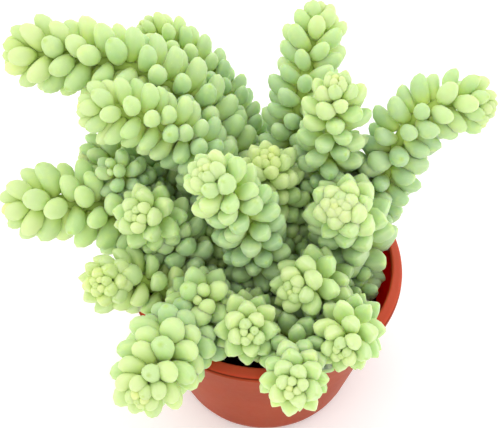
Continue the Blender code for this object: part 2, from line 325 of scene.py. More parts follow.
@dataclass(frozen=True)
class LeafSkin:
    """Succulent leaf under a wax bloom.

    Grown, not made: green flesh under a thin matt layer of pale wax, which whitens the leaf where
    light glances off it and lies on it in fine flecks. The skin is yellowest in the bud. Yellower
    flesh shows where the wax is rubbed off in blotches, and at a leaf's foot, where it is in part
    painted light bounced into the crevices between leaves. The margins are painted paler as rim
    light, and some leaves have a small greener point. Leaves deep in the plant are painted darker
    and more saturated as shade. Light passes through grown leaves, and hardly through the bud's.

    Attributes:
        skin: colours by age, from the bud to the oldest leaves.
        flesh, margin, point, wax, bloom: the other colours, flesh being in part painted light at a
        leaf's foot, margin painted rim light along the edges, and bloom the wax at a glance.
        ageing: how much older the blotches look.
        hue, value: the skin's hue and brightness by the leaf's own tone.
        foot, rubbed: share of flesh by the place along the leaf, which at the foot is in part
        painted light bounced in the crevices between leaves, and by the blotches.
        edge: share of the margin's painted rim light by the place across the leaf.
        tip, tipped: share of the point by the place along the leaf, and by the leaf's tone.
        painted_shade_saturation, painted_shade_value: strength and brightness of the colour by the
        depth in the plant, painted shade that makes the leaves deep inside darker and more
        saturated.
        flecks: share of the wax by its grains.
        roughness: the skin's by the grains.
        clear: how much light passes through, by age.
        flesh_depth_mm, flesh_reach: how far it passes, and its share in red, green and blue.
    """

    skin: tuple[Stop, ...] = (
        (0.08, "#D8EA92"), (0.2, "#D4E7A2"), (0.62, "#CCE4A2"), (1.0, "#B9D4A4"),
    )
    # In part painted light: at a leaf's foot this yellow green stands for light bounced in the
    # crevices between leaves; in the rubbed blotches it is the bare flesh.
    flesh: str = "#DEF096"
    # Painted rim light: the pale colour laid along the leaves' edges.
    margin: str = "#E4F1C6"
    point: str = "#A8C63C"
    wax: str = "#E9F1DA"
    bloom: str = "#F2F8E0"
    blotches: Grain = Grain(5.0, 3.0, 0.12, 0.6)
    # The wax grains are some hundredths of a millimetre wide, drawn at 0.7 mm so that they show.
    grains: Grain = Grain(0.7, 2.0, 0.1, 0.12)
    ageing: float = 0.25
    hue: Span = Span(0.0, 1.0, 0.485, 0.512)
    value: Span = Span(0.0, 1.0, 1.04, 0.93)
    # The foot's flesh is in part painted light of the crevices.
    foot: Span = Span(0.1, 0.62, 1.0, 0.0)
    rubbed: Span = Span(0.52, 0.75, 0.0, 0.45)
    edge: Span = Span(0.86, 1.0, 0.0, 0.35)
    tip: Span = Span(0.95, 1.0, 0.0, 0.6)
    tipped: Span = Span(0.5, 0.95, 0.05, 1.0)
    # Painted shade: leaves deep in the plant are made more saturated and darker.
    painted_shade_saturation: Span = Span(0.0, 1.0, 1.0, 1.18)
    painted_shade_value: Span = Span(0.0, 1.0, 1.0, 0.64)
    flecks: Span = Span(0.66, 0.76, 0.0, 0.3)
    roughness: Span = Span(0.0, 1.0, 0.49, 0.63)
    clear: Span = Span(0.25, 0.5, 0.16, 0.72)
    flesh_depth_mm: float = 4.2
    flesh_reach: tuple[float, float, float] = (0.75, 1.0, 0.3)
    ior: float = 1.42
    specular: float = 0.35
    bloom_weight: float = 0.4
    bloom_roughness: float = 0.25

    def make(self) -> bpy.types.Material:
        """Builds the material in layers, as they lie on the leaf.

        Returns:
            The material, which reads the leaves' own attributes along, age, tone, side and deep;
            side places the painted rim light of the margins, and deep the painted shade deep in
            the plant.
        """
        material, tree, shader = new_material("waxy_succulent_leaf")
        place = add_node(tree, "TexCoord").outputs["Object"]
        along, age, tone, side, deep = (
            add_node(tree, "Attribute", attribute_name=name).outputs["Fac"]
            for name in ("along", "age", "tone", "side", "deep")
        )
        blotches, grains = (
            add_node(tree, "TexNoise", grain.at(place)).outputs["Fac"]
            for grain in (self.blotches, self.grains)
        )
        hue, value, foot, rubbed, edge, tip, tipped, stronger, darker, flecks, rough, clear = (
            add_node(tree, "MapRange", span.of(source)).outputs[0]
            for span, source in (
                (self.hue, tone), (self.value, tone), (self.foot, along), (self.rubbed, blotches),
                (self.edge, side), (self.tip, along), (self.tipped, tone),
                (self.painted_shade_saturation, deep), (self.painted_shade_value, deep), (self.flecks, grains),
                (self.roughness, grains), (self.clear, age),
            )
        )
        aged = add_node(
            tree, "Math", {0: blotches, 1: self.ageing, 2: age}, operation="MULTIPLY_ADD"
        ).outputs[0]
        ramp = add_node(tree, "ValToRGB", {"Fac": aged})
        set_ramp(ramp, self.skin)
        bare = add_node(
            tree, "Math", {0: foot, 1: rubbed}, operation="ADD", use_clamp=True
        ).outputs[0]
        pointed = add_node(tree, "Math", {0: tip, 1: tipped}, operation="MULTIPLY").outputs[0]

        colour = add_node(
            tree, "HueSaturation", {"Color": ramp.outputs["Color"], "Hue": hue, "Value": value}
        ).outputs["Color"]
        # The foot's flesh, in part painted bounced light, the margins' painted rim light, and the
        # point.
        for share, layer in ((bare, self.flesh), (edge, self.margin), (pointed, self.point)):
            colour = add_node(
                tree, "MixRGB", {"Fac": share, "Color1": colour, "Color2": linear(layer)}
            ).outputs[0]
        # Painted shade: more saturated and darker deep in the plant.
        colour = add_node(
            tree, "HueSaturation", {"Color": colour, "Saturation": stronger, "Value": darker}
        ).outputs["Color"]
        colour = add_node(
            tree, "MixRGB", {"Fac": flecks, "Color1": colour, "Color2": linear(self.wax)}
        ).outputs[0]
        swell = add_node(tree, "Bump", self.blotches.relief(blotches)).outputs["Normal"]
        grainy = add_node(
            tree, "Bump", {**self.grains.relief(grains), "Normal": swell}
        ).outputs["Normal"]
        set_inputs(
            tree, shader,
            {
                "Base Color": colour, "Normal": grainy, "Roughness": rough, "IOR": self.ior,
                "Specular IOR Level": self.specular, "Subsurface Weight": clear,
                "Subsurface Radius": self.flesh_reach,
                "Subsurface Scale": self.flesh_depth_mm * MM, "Sheen Weight": self.bloom_weight,
                "Sheen Roughness": self.bloom_roughness, "Sheen Tint": linear(self.bloom),
            },
        )
        return material


@dataclass(frozen=True)
class DullSkin:
    """A dull natural surface, coloured by a pattern that is laid over a value of its points.

    Attributes:
        material: the material's name.
        attribute: the point attribute that it reads.
        grain: the pattern.
        share: how much of the pattern is added to the attribute.
        stops: the colours by that sum.
        roughness: the surface's.
    """

    material: str
    attribute: str
    grain: Grain
    share: float
    stops: tuple[Stop, ...]
    roughness: float

    def make(self) -> bpy.types.Material:
        """Builds the material.

        Returns:
            The material, which reads the attribute from the piece's points.
        """
        material, tree, shader = new_material(self.material)
        place = add_node(tree, "TexCoord").outputs["Object"]
        value = add_node(tree, "Attribute", attribute_name=self.attribute).outputs["Fac"]
        pattern = add_node(tree, "TexNoise", self.grain.at(place)).outputs["Fac"]
        mixed = add_node(
            tree, "Math", {0: pattern, 1: self.share, 2: value}, operation="MULTIPLY_ADD"
        ).outputs[0]
        ramp = add_node(tree, "ValToRGB", {"Fac": mixed})
        set_ramp(ramp, self.stops)
        bump = add_node(tree, "Bump", self.grain.relief(pattern)).outputs["Normal"]
        set_inputs(
            tree, shader,
            {
                "Base Color": ramp.outputs["Color"], "Normal": bump,
                "Roughness": self.roughness,
            },
        )
        return material


@dataclass(frozen=True)
class StalkSkin(DullSkin):
    """Stalk of a succulent: soft green near the tip, turning to thin grey brown bark below.

    The bark is dull and finely ringed by old leaf scars, a few millimetres apart.
    """

    material: str = "succulent_stalk"
    attribute: str = "age"
    grain: Grain = Grain(2.2, 4.0, 0.4, 0.5)
    share: float = 0.6
    stops: tuple[Stop, ...] = ((0.75, "#B4CC66"), (1.0, "#8C8463"))
    roughness: float = 0.75


@dataclass(frozen=True)
class PottingMix(DullSkin):
    """Damp peat potting mix with fine bark.

    Crumbs of peat pack into a dull, nearly black surface; shreds of bark are a little browner.
    """

    material: str = "peat_potting_mix"
    attribute: str = "tone"
    grain: Grain = Grain(1.6, 5.0, 0.9, 0.8, rough=0.65)
    share: float = 0.8
    stops: tuple[Stop, ...] = ((0.35, "#0D0907"), (1.0, "#2E2118"))
    roughness: float = 0.92


@dataclass(frozen=True)
class MouldedPlastic:
    """Polypropylene, injection moulded in terracotta red.

    The mould leaves a satin skin with a very fine orange peel, and handling leaves faint paler
    scuffs, most on the lip. The lip is redder than the wall, and is also painted lighter for the
    light that falls on its upward face. The thin wall lets light through, and the inside is
    painted a bright red glow that stands for it. The crease under the lip is darkened by dust and
    painted shade.

    Attributes:
        wall: colours by the slow clouds in the plastic, the middle one being the wall's own.
        cloudy: how far the clouds show.
        scuffed, lip, inside, crease: the colours of scuffs and of these places: the lip's partly
            painted light, the inside's painted glow, and the crease's dust and painted shade.
        on_lip, in_crease: share of their colours by the attribute lip.
        worn, handled: share of the scuffs by their pattern, and by the attribute lip.
        roughness: the skin's by the scuffs.
        glow_mm, glow_reach, glow: how far light passes through, its share in red, green and
            blue, and how much.
    """

    wall: tuple[Stop, ...] = ((0.3, "#88300E"), (0.5, "#9A380F"), (0.85, "#B04E28"))
    cloudy: float = 0.35
    scuffed: str = "#B04E28"
    # The lip's own redder tone, painted lighter for the light on its upward face.
    lip: str = "#D0533A"
    # Painted light: the inside's bright red stands for light that glows through the thin wall.
    inside: str = "#E0240C"
    # Dust and painted shade: the dark line in the crease under the lip's slope.
    crease: str = "#4A1006"
    clouds: Grain = Grain(22.0, 4.0)
    scuffs: Grain = Grain(3.0, 6.0, rough=0.7)
    # The skin's orange peel is about 0.3 mm wide, drawn at 0.8 mm so that it shows.
    peel: Grain = Grain(0.8, 1.0, 0.03, 0.1)
    on_lip: Span = Span(0.0, 1.0, 0.0, 0.6)
    in_crease: Span = Span(-1.0, -0.3, 0.85, 0.0)
    worn: Span = Span(0.56, 0.72, 0.04, 0.3)
    handled: Span = Span(0.0, 1.0, 0.15, 1.0)
    roughness: Span = Span(0.35, 0.75, 0.45, 0.51)
    glow_mm: float = 3.5
    glow_reach: tuple[float, float, float] = (1.0, 0.1, 0.05)
    glow: float = 0.5
    ior: float = 1.49
    specular: float = 0.12

    def make(self) -> bpy.types.Material:
        """Builds the material from the wall's colour to the painted glow inside.

        Returns:
            The material, which reads the pot's own attributes lip and inside; lip also marks the
            lip's painted light and the crease's painted shade, and inside the painted glow.
        """
        material, tree, shader = new_material("moulded_polypropylene")
        place = add_node(tree, "TexCoord").outputs["Object"]
        lip, inside = (
            add_node(tree, "Attribute", attribute_name=name).outputs["Fac"]
            for name in ("lip", "inside")
        )
        clouds, scuffs, peel = (
            add_node(tree, "TexNoise", grain.at(place)).outputs["Fac"]
            for grain in (self.clouds, self.scuffs, self.peel)
        )
        on_lip, in_crease, worn, handled, rough = (
            add_node(tree, "MapRange", span.of(source)).outputs[0]
            for span, source in (
                (self.on_lip, lip), (self.in_crease, lip), (self.worn, scuffs),
                (self.handled, lip), (self.roughness, scuffs),
            )
        )
        marked = add_node(tree, "Math", {0: worn, 1: handled}, operation="MULTIPLY").outputs[0]
        ramp = add_node(tree, "ValToRGB", {"Fac": clouds})
        set_ramp(ramp, self.wall)
        own = linear(self.wall[1][1])
        colour = add_node(
            tree, "MixRGB", {"Fac": self.cloudy, "Color1": own, "Color2": ramp.outputs["Color"]}
        ).outputs[0]
        # Painted light and shade: the lip's lighter red, the crease's shade with its dust, and the
        # inner glow; the scuffs are real wear.
        for share, layer in (
            (on_lip, self.lip), (in_crease, self.crease), (marked, self.scuffed),
            (inside, self.inside),
        ):
            colour = add_node(
                tree, "MixRGB", {"Fac": share, "Color1": colour, "Color2": linear(layer)}
            ).outputs[0]
        bump = add_node(tree, "Bump", self.peel.relief(peel)).outputs["Normal"]
        set_inputs(
            tree, shader,
            {
                "Base Color": colour, "Normal": bump, "Roughness": rough, "IOR": self.ior,
                "Specular IOR Level": self.specular, "Subsurface Weight": self.glow,
                "Subsurface Radius": self.glow_reach, "Subsurface Scale": self.glow_mm * MM,
            },
        )
        return material


@dataclass
class NurseryPot:
    """The thin pot: a cone on a rounded heel, with a lip that slopes outward and drain holes.

    Attributes:
        foot_radius, foot_z: where the straight wall starts, above the rounded heel.
        lip_drop, lip_depth: how far the lip's outer edge lies under its crest, and its height.
        drain_circle: radius of the circle that the drain holes lie on.
        overcut: how far the tool that cuts them reaches past the floor.
        rib_width: width of the inner ribs, at mid_radius, the wall's middle radius.
        rib_room: how far the ribs end above the floor and below the crest.
        glow_room: depths under the crest between which the painted inner glow sets in.
        sharp_from: the angle between faces from which an edge looks sharp.
    """

    skin: MouldedPlastic = field(default_factory=MouldedPlastic)
    height: float = 78.0
    wall: float = 1.5
    foot_radius: float = 41.2
    foot_z: float = 7.0
    heel_radius: float = 39.4
    heel_z: float = 2.4
    base_radius: float = 35.0
    wall_top_radius: float = 58.6
    lip_radius: float = 60.0
    lip_crest_radius: float = 56.0
    lip_drop: float = 2.0
    lip_depth: float = 3.2
    floor: float = 2.0
    drains: int = 6
    drain_radius: float = 3.5
    drain_circle: float = 27.0
    drain_sides: int = 32
    overcut: float = 3.0
    sides: int = 180
    ribs: int = 12
    rib_height: float = 0.35
    rib_width: float = 1.4
    rib_room: tuple[float, float] = (2.0, 2.5)
    mid_radius: float = 50.0
    glow_room: tuple[float, float] = (0.5, 3.0)
    sharp_from: float = math.radians(38)

    def inner_radius(self, height: np.ndarray | float) -> np.ndarray | float:
        """Radius of the inner wall at a height: a straight line from the foot to the top."""
        share = (height - self.foot_z) / (self.height - self.foot_z)
        return self.foot_radius - self.wall + share * (self.wall_top_radius - self.foot_radius)

    def profile(self) -> np.ndarray:
        """The section as (radius, height, lip) rows.

        It runs from the middle of the underside up the outside, over the lip and down the inside
        to the middle of the floor. Each corner is rounded by points on both sides of it. The
        third number is 1 on the lip, where light is partly painted, and -1 in the crease under its
        slope, which is darkened by dust and painted shade.

        Returns:
            (n, 3) rows, the first and last on the axis.
        """
        base, heel, foot = self.base_radius, self.heel_radius, self.foot_radius
        top, lip, crest = self.height, self.lip_radius, self.lip_crest_radius
        edge = top - self.lip_drop
        under, groove = edge - self.lip_depth, edge - 0.7
        wall_top = self.wall_top_radius - 0.5
        # Underside and heel.
        rows = [
            (0, 0, 0), (12, 0, 0), (24, 0, 0), (base - 1.5, 0, 0), (base, 0.05, 0),
            (base + 1.6, 0.45, 0), (heel - 0.9, 1.55, 0), (heel, self.heel_z, 0),
            (heel + 0.9, 4.3, 0), (foot, self.foot_z, 0), (foot + 0.28, self.foot_z + 1.2, 0),
        ]
        # Outer wall.
        rows += [
            (foot + share * (wall_top - foot), self.foot_z + share * (under - self.foot_z), 0)
            for share in (0.2, 0.4, 0.6, 0.8, 0.96, 0.99)
        ]
        rows += [
            # Underside and outer edge of the lip.
            (wall_top, under, 0), (self.wall_top_radius - 0.1, under + 0.15, 0),
            (lip - 0.35, under + 0.2, 0), (lip - 0.05, under + 0.5, 0), (lip, under + 0.8, 0),
            (lip, groove - 0.75, 0),
            # The crease, darkened by dust and painted shade, and the slope over it.
            (lip - 0.1, groove - 0.45, -0.3), (lip - 0.5, groove - 0.2, -1),
            (lip - 0.6, groove + 0.15, -1), (lip - 0.4, groove + 0.4, -1),
            (lip - 0.2, groove + 0.6, 0.2), (lip - 0.45, groove + 0.95, 1),
            (lip - 1.9, edge + 0.95, 1),
            # The crest.
            (crest + 0.9, top - 0.42, 1), (crest + 0.35, top - 0.12, 1), (crest, top, 1),
            (crest - 0.3, top - 0.1, 1), (crest - 0.6, top - 0.4, 1),
            (crest - 0.8, top - 0.8, 0.8), (crest - 0.85, top - 1.6, 0.3),
        ]
        # Inside of the lip, and the inner wall from there to the foot.
        crest_in, low = crest - 0.85, float(self.inner_radius(top - self.lip_depth)) - 0.6
        crest_z, low_z = top - 1.6, top - self.lip_depth - 6
        inner_foot = foot - self.wall
        for start, start_z, end, end_z, shares in (
            (crest_in, crest_z, low, low_z, (0.35, 0.7, 1.0)),
            (low, low_z, inner_foot, self.foot_z, (0.03, 0.3, 0.6, 0.9)),
        ):
            rows += [
                (start + share * (end - start), start_z + share * (end_z - start_z), 0)
                for share in shares
            ]
        # Inner foot and floor.
        rows += [
            (inner_foot, self.foot_z, 0), (base + 1.2, self.floor + 1.1, 0),
            (base - 0.5, self.floor, 0), (24, self.floor, 0), (12, self.floor, 0),
            (0, self.floor, 0),
        ]
        return np.array(rows, float)

    def build(self) -> bpy.types.Object:
        """Turns the profile about the Z axis, raises the inner ribs and cuts the drain holes.

        A point is (r cos a, r sin a, h). On the inner wall r loses a rib's height times a bell
        curve of the distance along the wall to the nearest rib.

        Returns:
            The pot.
        """
        rows = self.profile()
        radius, height, lip = rows[1:-1].T
        within = np.arange(len(height)) > np.argmax(height)
        above_floor, below_crest = self.rib_room
        ribbed = within & (height > self.floor + above_floor)
        ribbed &= height < self.height - below_crest
        angle, pitch = turns(self.sides), 2 * np.pi / self.ribs
        offset = (angle + pitch / 2) % pitch - pitch / 2
        bell = np.exp(-((offset * self.mid_radius / self.rib_width) ** 2))
        radius = radius[:, None] - ribbed[:, None] * self.rib_height * bell
        points = polar(radius, angle, height[:, None]).reshape(-1, 3)
        # Where the inside is painted with the glow of light through the wall.
        glow = within * fade(*self.glow_room, self.height - height)
        quads, triangles = shell_faces(len(height), self.sides)
        pot = make_piece(
            "nursery_pot", np.vstack([points, [[0, 0, rows[0, 1]], [0, 0, rows[-1, 1]]]]),
            quads, triangles, [self.skin.make()],
            {
                "lip": np.concatenate([np.repeat(lip, self.sides), [0, 0]]),
                "inside": np.concatenate([np.repeat(glow, self.sides), [0, 1]]),
            },
        )
        self.drill(pot)
        pot.data.set_sharp_from_angle(angle=self.sharp_from)
        return pot

    def drill(self, pot: bpy.types.Object) -> None:
        """Cuts the round drain holes through the floor with one Boolean, applied at once.

        Args:
            pot: the pot.
        """
        middles = polar(self.drain_circle, turns(self.drains), 0.0)[:, None]
        circles = middles + polar(self.drain_radius, turns(self.drain_sides), 0.0)
        low, high = (0, 0, -self.overcut), (0, 0, self.floor + self.overcut)
        points = np.concatenate(
            [circles + low, circles + high, middles + low, middles + high], axis=1
        )
        quads, triangles = shell_faces(2, self.drain_sides)
        start = (np.arange(self.drains) * points.shape[1])[:, None, None]
        cutter = make_piece(
            "drain_cutter", points.reshape(-1, 3), (start + quads).reshape(-1, 4),
            (start + triangles).reshape(-1, 3), [],
        )
        cut = pot.modifiers.new("drains", "BOOLEAN")
        cut.operation = "DIFFERENCE"
        cut.solver = "EXACT"
        cut.object = cutter
        bpy.context.view_layer.objects.active = pot
        bpy.context.view_layer.update()
        bpy.ops.object.modifier_apply(modifier=cut.name)
        bpy.data.objects.remove(cutter, do_unlink=True)


@dataclass
class SoilBed:
    """The soil: a plug that fills the pot to below its lip, with crumbs and bark on its top.

    Attributes:
        edge_z, rise: height of the top at the wall, and of its dome in the middle.
        press: how far the top's edge is pressed into the wall, so that no gap shows.
        gap, foot_room: how far the plug's lower part stays off the wall and off the base's edge.
        fall: power of the distance by which the lumps die out at the wall.
        crumb_sizes, crumb_power: smallest and largest crumb, and how much commoner small ones are.
        shred_sizes, shred_shape: the shreds' sizes, and how these are stretched.
        stretch, shred_stretch: limits of the random stretch of crumbs and of shreds.
        knobs: limits of the random push of their corners.
        lean: spread of the random lean, in radians.
        margin: width of the ring at the wall where nothing lies.
        raised: how high a crumb's middle lies, in shares of its size.
    """

    pot: NurseryPot
    mix: PottingMix = field(default_factory=PottingMix)
    edge_z: float = 50.0
    rise: float = 4.0
    floor_z: float = 2.3
    press: float = 0.2
    gap: float = 0.3
    foot_room: float = 1.4
    fall: int = 12
    sides: int = 120
    rings: int = 44
    crumbs: int = 900
    crumb_sizes: tuple[float, float] = (0.5, 1.9)
    crumb_power: float = 2.5
    shreds: int = 60
    shred_sizes: tuple[float, float] = (0.9, 1.5)
    shred_shape: tuple[float, float, float] = (3.4, 0.5, 0.4)
    stretch: tuple[float, float] = (0.6, 1.25)
    shred_stretch: tuple[float, float] = (0.8, 1.2)
    knobs: tuple[float, float] = (0.75, 1.15)
    lean: float = 0.3
    margin: float = 3.0
    raised: float = 0.25

    def height(self, radius: np.ndarray | float) -> np.ndarray | float:
        """Height of the plain top at a distance from the axis: a low dome."""
        return self.edge_z + self.rise * (1 - (radius / self.pot.inner_radius(self.edge_z)) ** 2)

    @staticmethod
    def relief(x: np.ndarray, y: np.ndarray) -> np.ndarray:
        """Lumps of the top: a sum of slow crossed waves and quick ones, under 1.4 mm high.

        Args:
            x: places along X, in mm.
            y: places along Y.

        Returns:
            Heights over the plain top.
        """
        slow = np.sin(0.31 * x + 1.3 * np.sin(0.17 * y))
        slow = slow * np.cos(0.27 * y - 0.9 * np.sin(0.21 * x))
        quick = np.sin(1.3 * x + 2.1 * y) * np.sin(1.9 * y - 1.1 * x + 0.7)
        return 0.9 * slow + 0.45 * quick

    def build(self) -> bpy.types.Object:
        """Makes the plug with its lumpy top, and scatters the crumbs and shreds over it.

        The top is a polar grid: rings from the middle to the wall, lifted by the relief. The
        side goes down along the pot's inner wall to the floor, where the plug is closed.

        Returns:
            The soil.
        """
        pot, angle = self.pot, turns(self.sides)
        edge = float(pot.inner_radius(self.edge_z)) + self.press
        radius = edge * np.linspace(0, 1, self.rings + 1)[1:, None]
        x, y = radius * np.cos(angle), radius * np.sin(angle)
        top = self.height(radius) + self.relief(x, y) * (1 - (radius / edge) ** self.fall)
        foot = float(pot.inner_radius(pot.foot_z)) - self.gap
        side = polar(
            np.array([[foot], [pot.base_radius - self.foot_room]]), angle,
            np.array([[pot.foot_z + self.gap], [self.floor_z]]),
        )
        points = np.vstack([polar(radius, angle, top), side]).reshape(-1, 3)
        middles = [[0, 0, float(self.height(0.0))], [0, 0, self.floor_z]]
        points = np.vstack([points, middles])
        quads, triangles = shell_faces(self.rings + 2, self.sides, flipped=True)
        crumb_points, crumb_faces, crumb_tone = self.scatter()
        return make_piece(
            "potting_mix", np.vstack([points, crumb_points]), quads,
            np.vstack([triangles, crumb_faces + len(points)]), [self.mix.make()],
            {"tone": np.concatenate([np.zeros(len(points)), crumb_tone])},
        )

    def scatter(self) -> tuple[np.ndarray, np.ndarray, np.ndarray]:
        """Crumbs and shreds lying on the top.

        Each is a twenty-faced ball whose corners are pushed in or out by a seeded draw, stretched
        along three turned axes. Its middle lies a little over the top. A shred is long and thin,
        and browner.

        Returns:
            Points, triangles and the tone of each point.
        """
        draw = np.random.default_rng(SEED)
        number = self.crumbs + self.shreds
        shred = np.arange(number) >= self.crumbs
        golden = (1 + 5 ** 0.5) / 2
        ball = np.array(
            [(-1, golden, 0), (1, golden, 0), (-1, -golden, 0), (1, -golden, 0),
             (0, -1, golden), (0, 1, golden), (0, -1, -golden), (0, 1, -golden),
             (golden, 0, -1), (golden, 0, 1), (-golden, 0, -1), (-golden, 0, 1)], float
        ) / math.hypot(1, golden)
        faces = np.array(
            [(0, 11, 5), (0, 5, 1), (0, 1, 7), (0, 7, 10), (0, 10, 11), (1, 5, 9), (5, 11, 4),
             (11, 10, 2), (10, 7, 6), (7, 1, 8), (3, 9, 4), (3, 4, 2), (3, 2, 6), (3, 6, 8),
             (3, 8, 9), (4, 9, 5), (2, 4, 11), (6, 2, 10), (8, 6, 7), (9, 8, 1)]
        )
        corners = len(ball)
        low, high = self.crumb_sizes
        size = low + (high - low) * draw.random(number) ** self.crumb_power
        stretch = draw.uniform(*self.stretch, (number, 3))
        stretch[shred] = draw.uniform(*self.shred_stretch, (self.shreds, 3)) * self.shred_shape
        size[shred] = draw.uniform(*self.shred_sizes, self.shreds)
        knobs = draw.uniform(*self.knobs, (number, corners, 1))
        shape = ball * knobs * (size[:, None] * stretch)[:, None]
        turn, lean = draw.uniform(0, 2 * np.pi, number), draw.normal(0, self.lean, number)
        turn, lean = turn[:, None], lean[:, None]
        x, y, z = shape[..., 0], shape[..., 1], shape[..., 2]
        x, z = x * np.cos(lean) - z * np.sin(lean), x * np.sin(lean) + z * np.cos(lean)
        x, y = x * np.cos(turn) - y * np.sin(turn), x * np.sin(turn) + y * np.cos(turn)
        reach = float(self.pot.inner_radius(self.edge_z)) - self.margin
        far = reach * np.sqrt(draw.random(number))
        place = polar(far, draw.uniform(0, 2 * np.pi, number), 0.0)
        place[:, 2] = self.height(far) + self.relief(place[:, 0], place[:, 1])
        place[:, 2] += self.raised * size
        points = np.stack([x, y, z], axis=-1) + place[:, None]
        # Few crumbs come near half of the bark's tone, and shreds take the other half.
        tone = draw.random(number) ** 2 * 0.5 + shred * 0.5
        start = np.arange(number)[:, None, None] * corners
        return points.reshape(-1, 3), (start + faces).reshape(-1, 3), np.repeat(tone, corners)


@dataclass(frozen=True)
class Stem:
    """One leafy stem: its route from the soil to the tip, in mm, and how its leaves grow.

    Attributes:
        name: the CAD node.
        route: (x, y) where it leaves the soil, then (x, y, z) points up to the tip.
        leaf: length of a grown leaf.
        bare: length of stalk above the soil with no leaves.
        turn: where the leaf spiral starts, in radians.
        hand: 1 or -1, the way that the spiral turns.
        young: how many leaves the tip takes to reach two thirds of full size.
        spread: angle between a grown leaf and the stem, in degrees.
        inset: how far short of the route's end the bud lies.
        droop: by how much the oldest leaves open further than the spread, in degrees.
        airy: how much wider apart the leaves are than on a dense stem.
        opens: over how many times as many leaves a leaf opens as it grows.
        sharp: 0 for leaves with blunt ends, 1 for flat leaves with pointed ends.
        aged: how much older than a fresh stem's its leaves look; below 0 for younger and lighter,
        which on stems that lie in shade, such as the near left, drooping left and middle back
        ones, also paints light.
    """

    name: str
    route: tuple[tuple[float, ...], ...]
    leaf: float
    bare: float
    turn: float = 0.0
    hand: int = 1
    young: float = 8.0
    spread: float = 78.0
    inset: float = 1.3
    droop: float = 4.0
    airy: float = 1.0
    opens: float = 1.8
    sharp: float = 0.25
    aged: float = 0.0


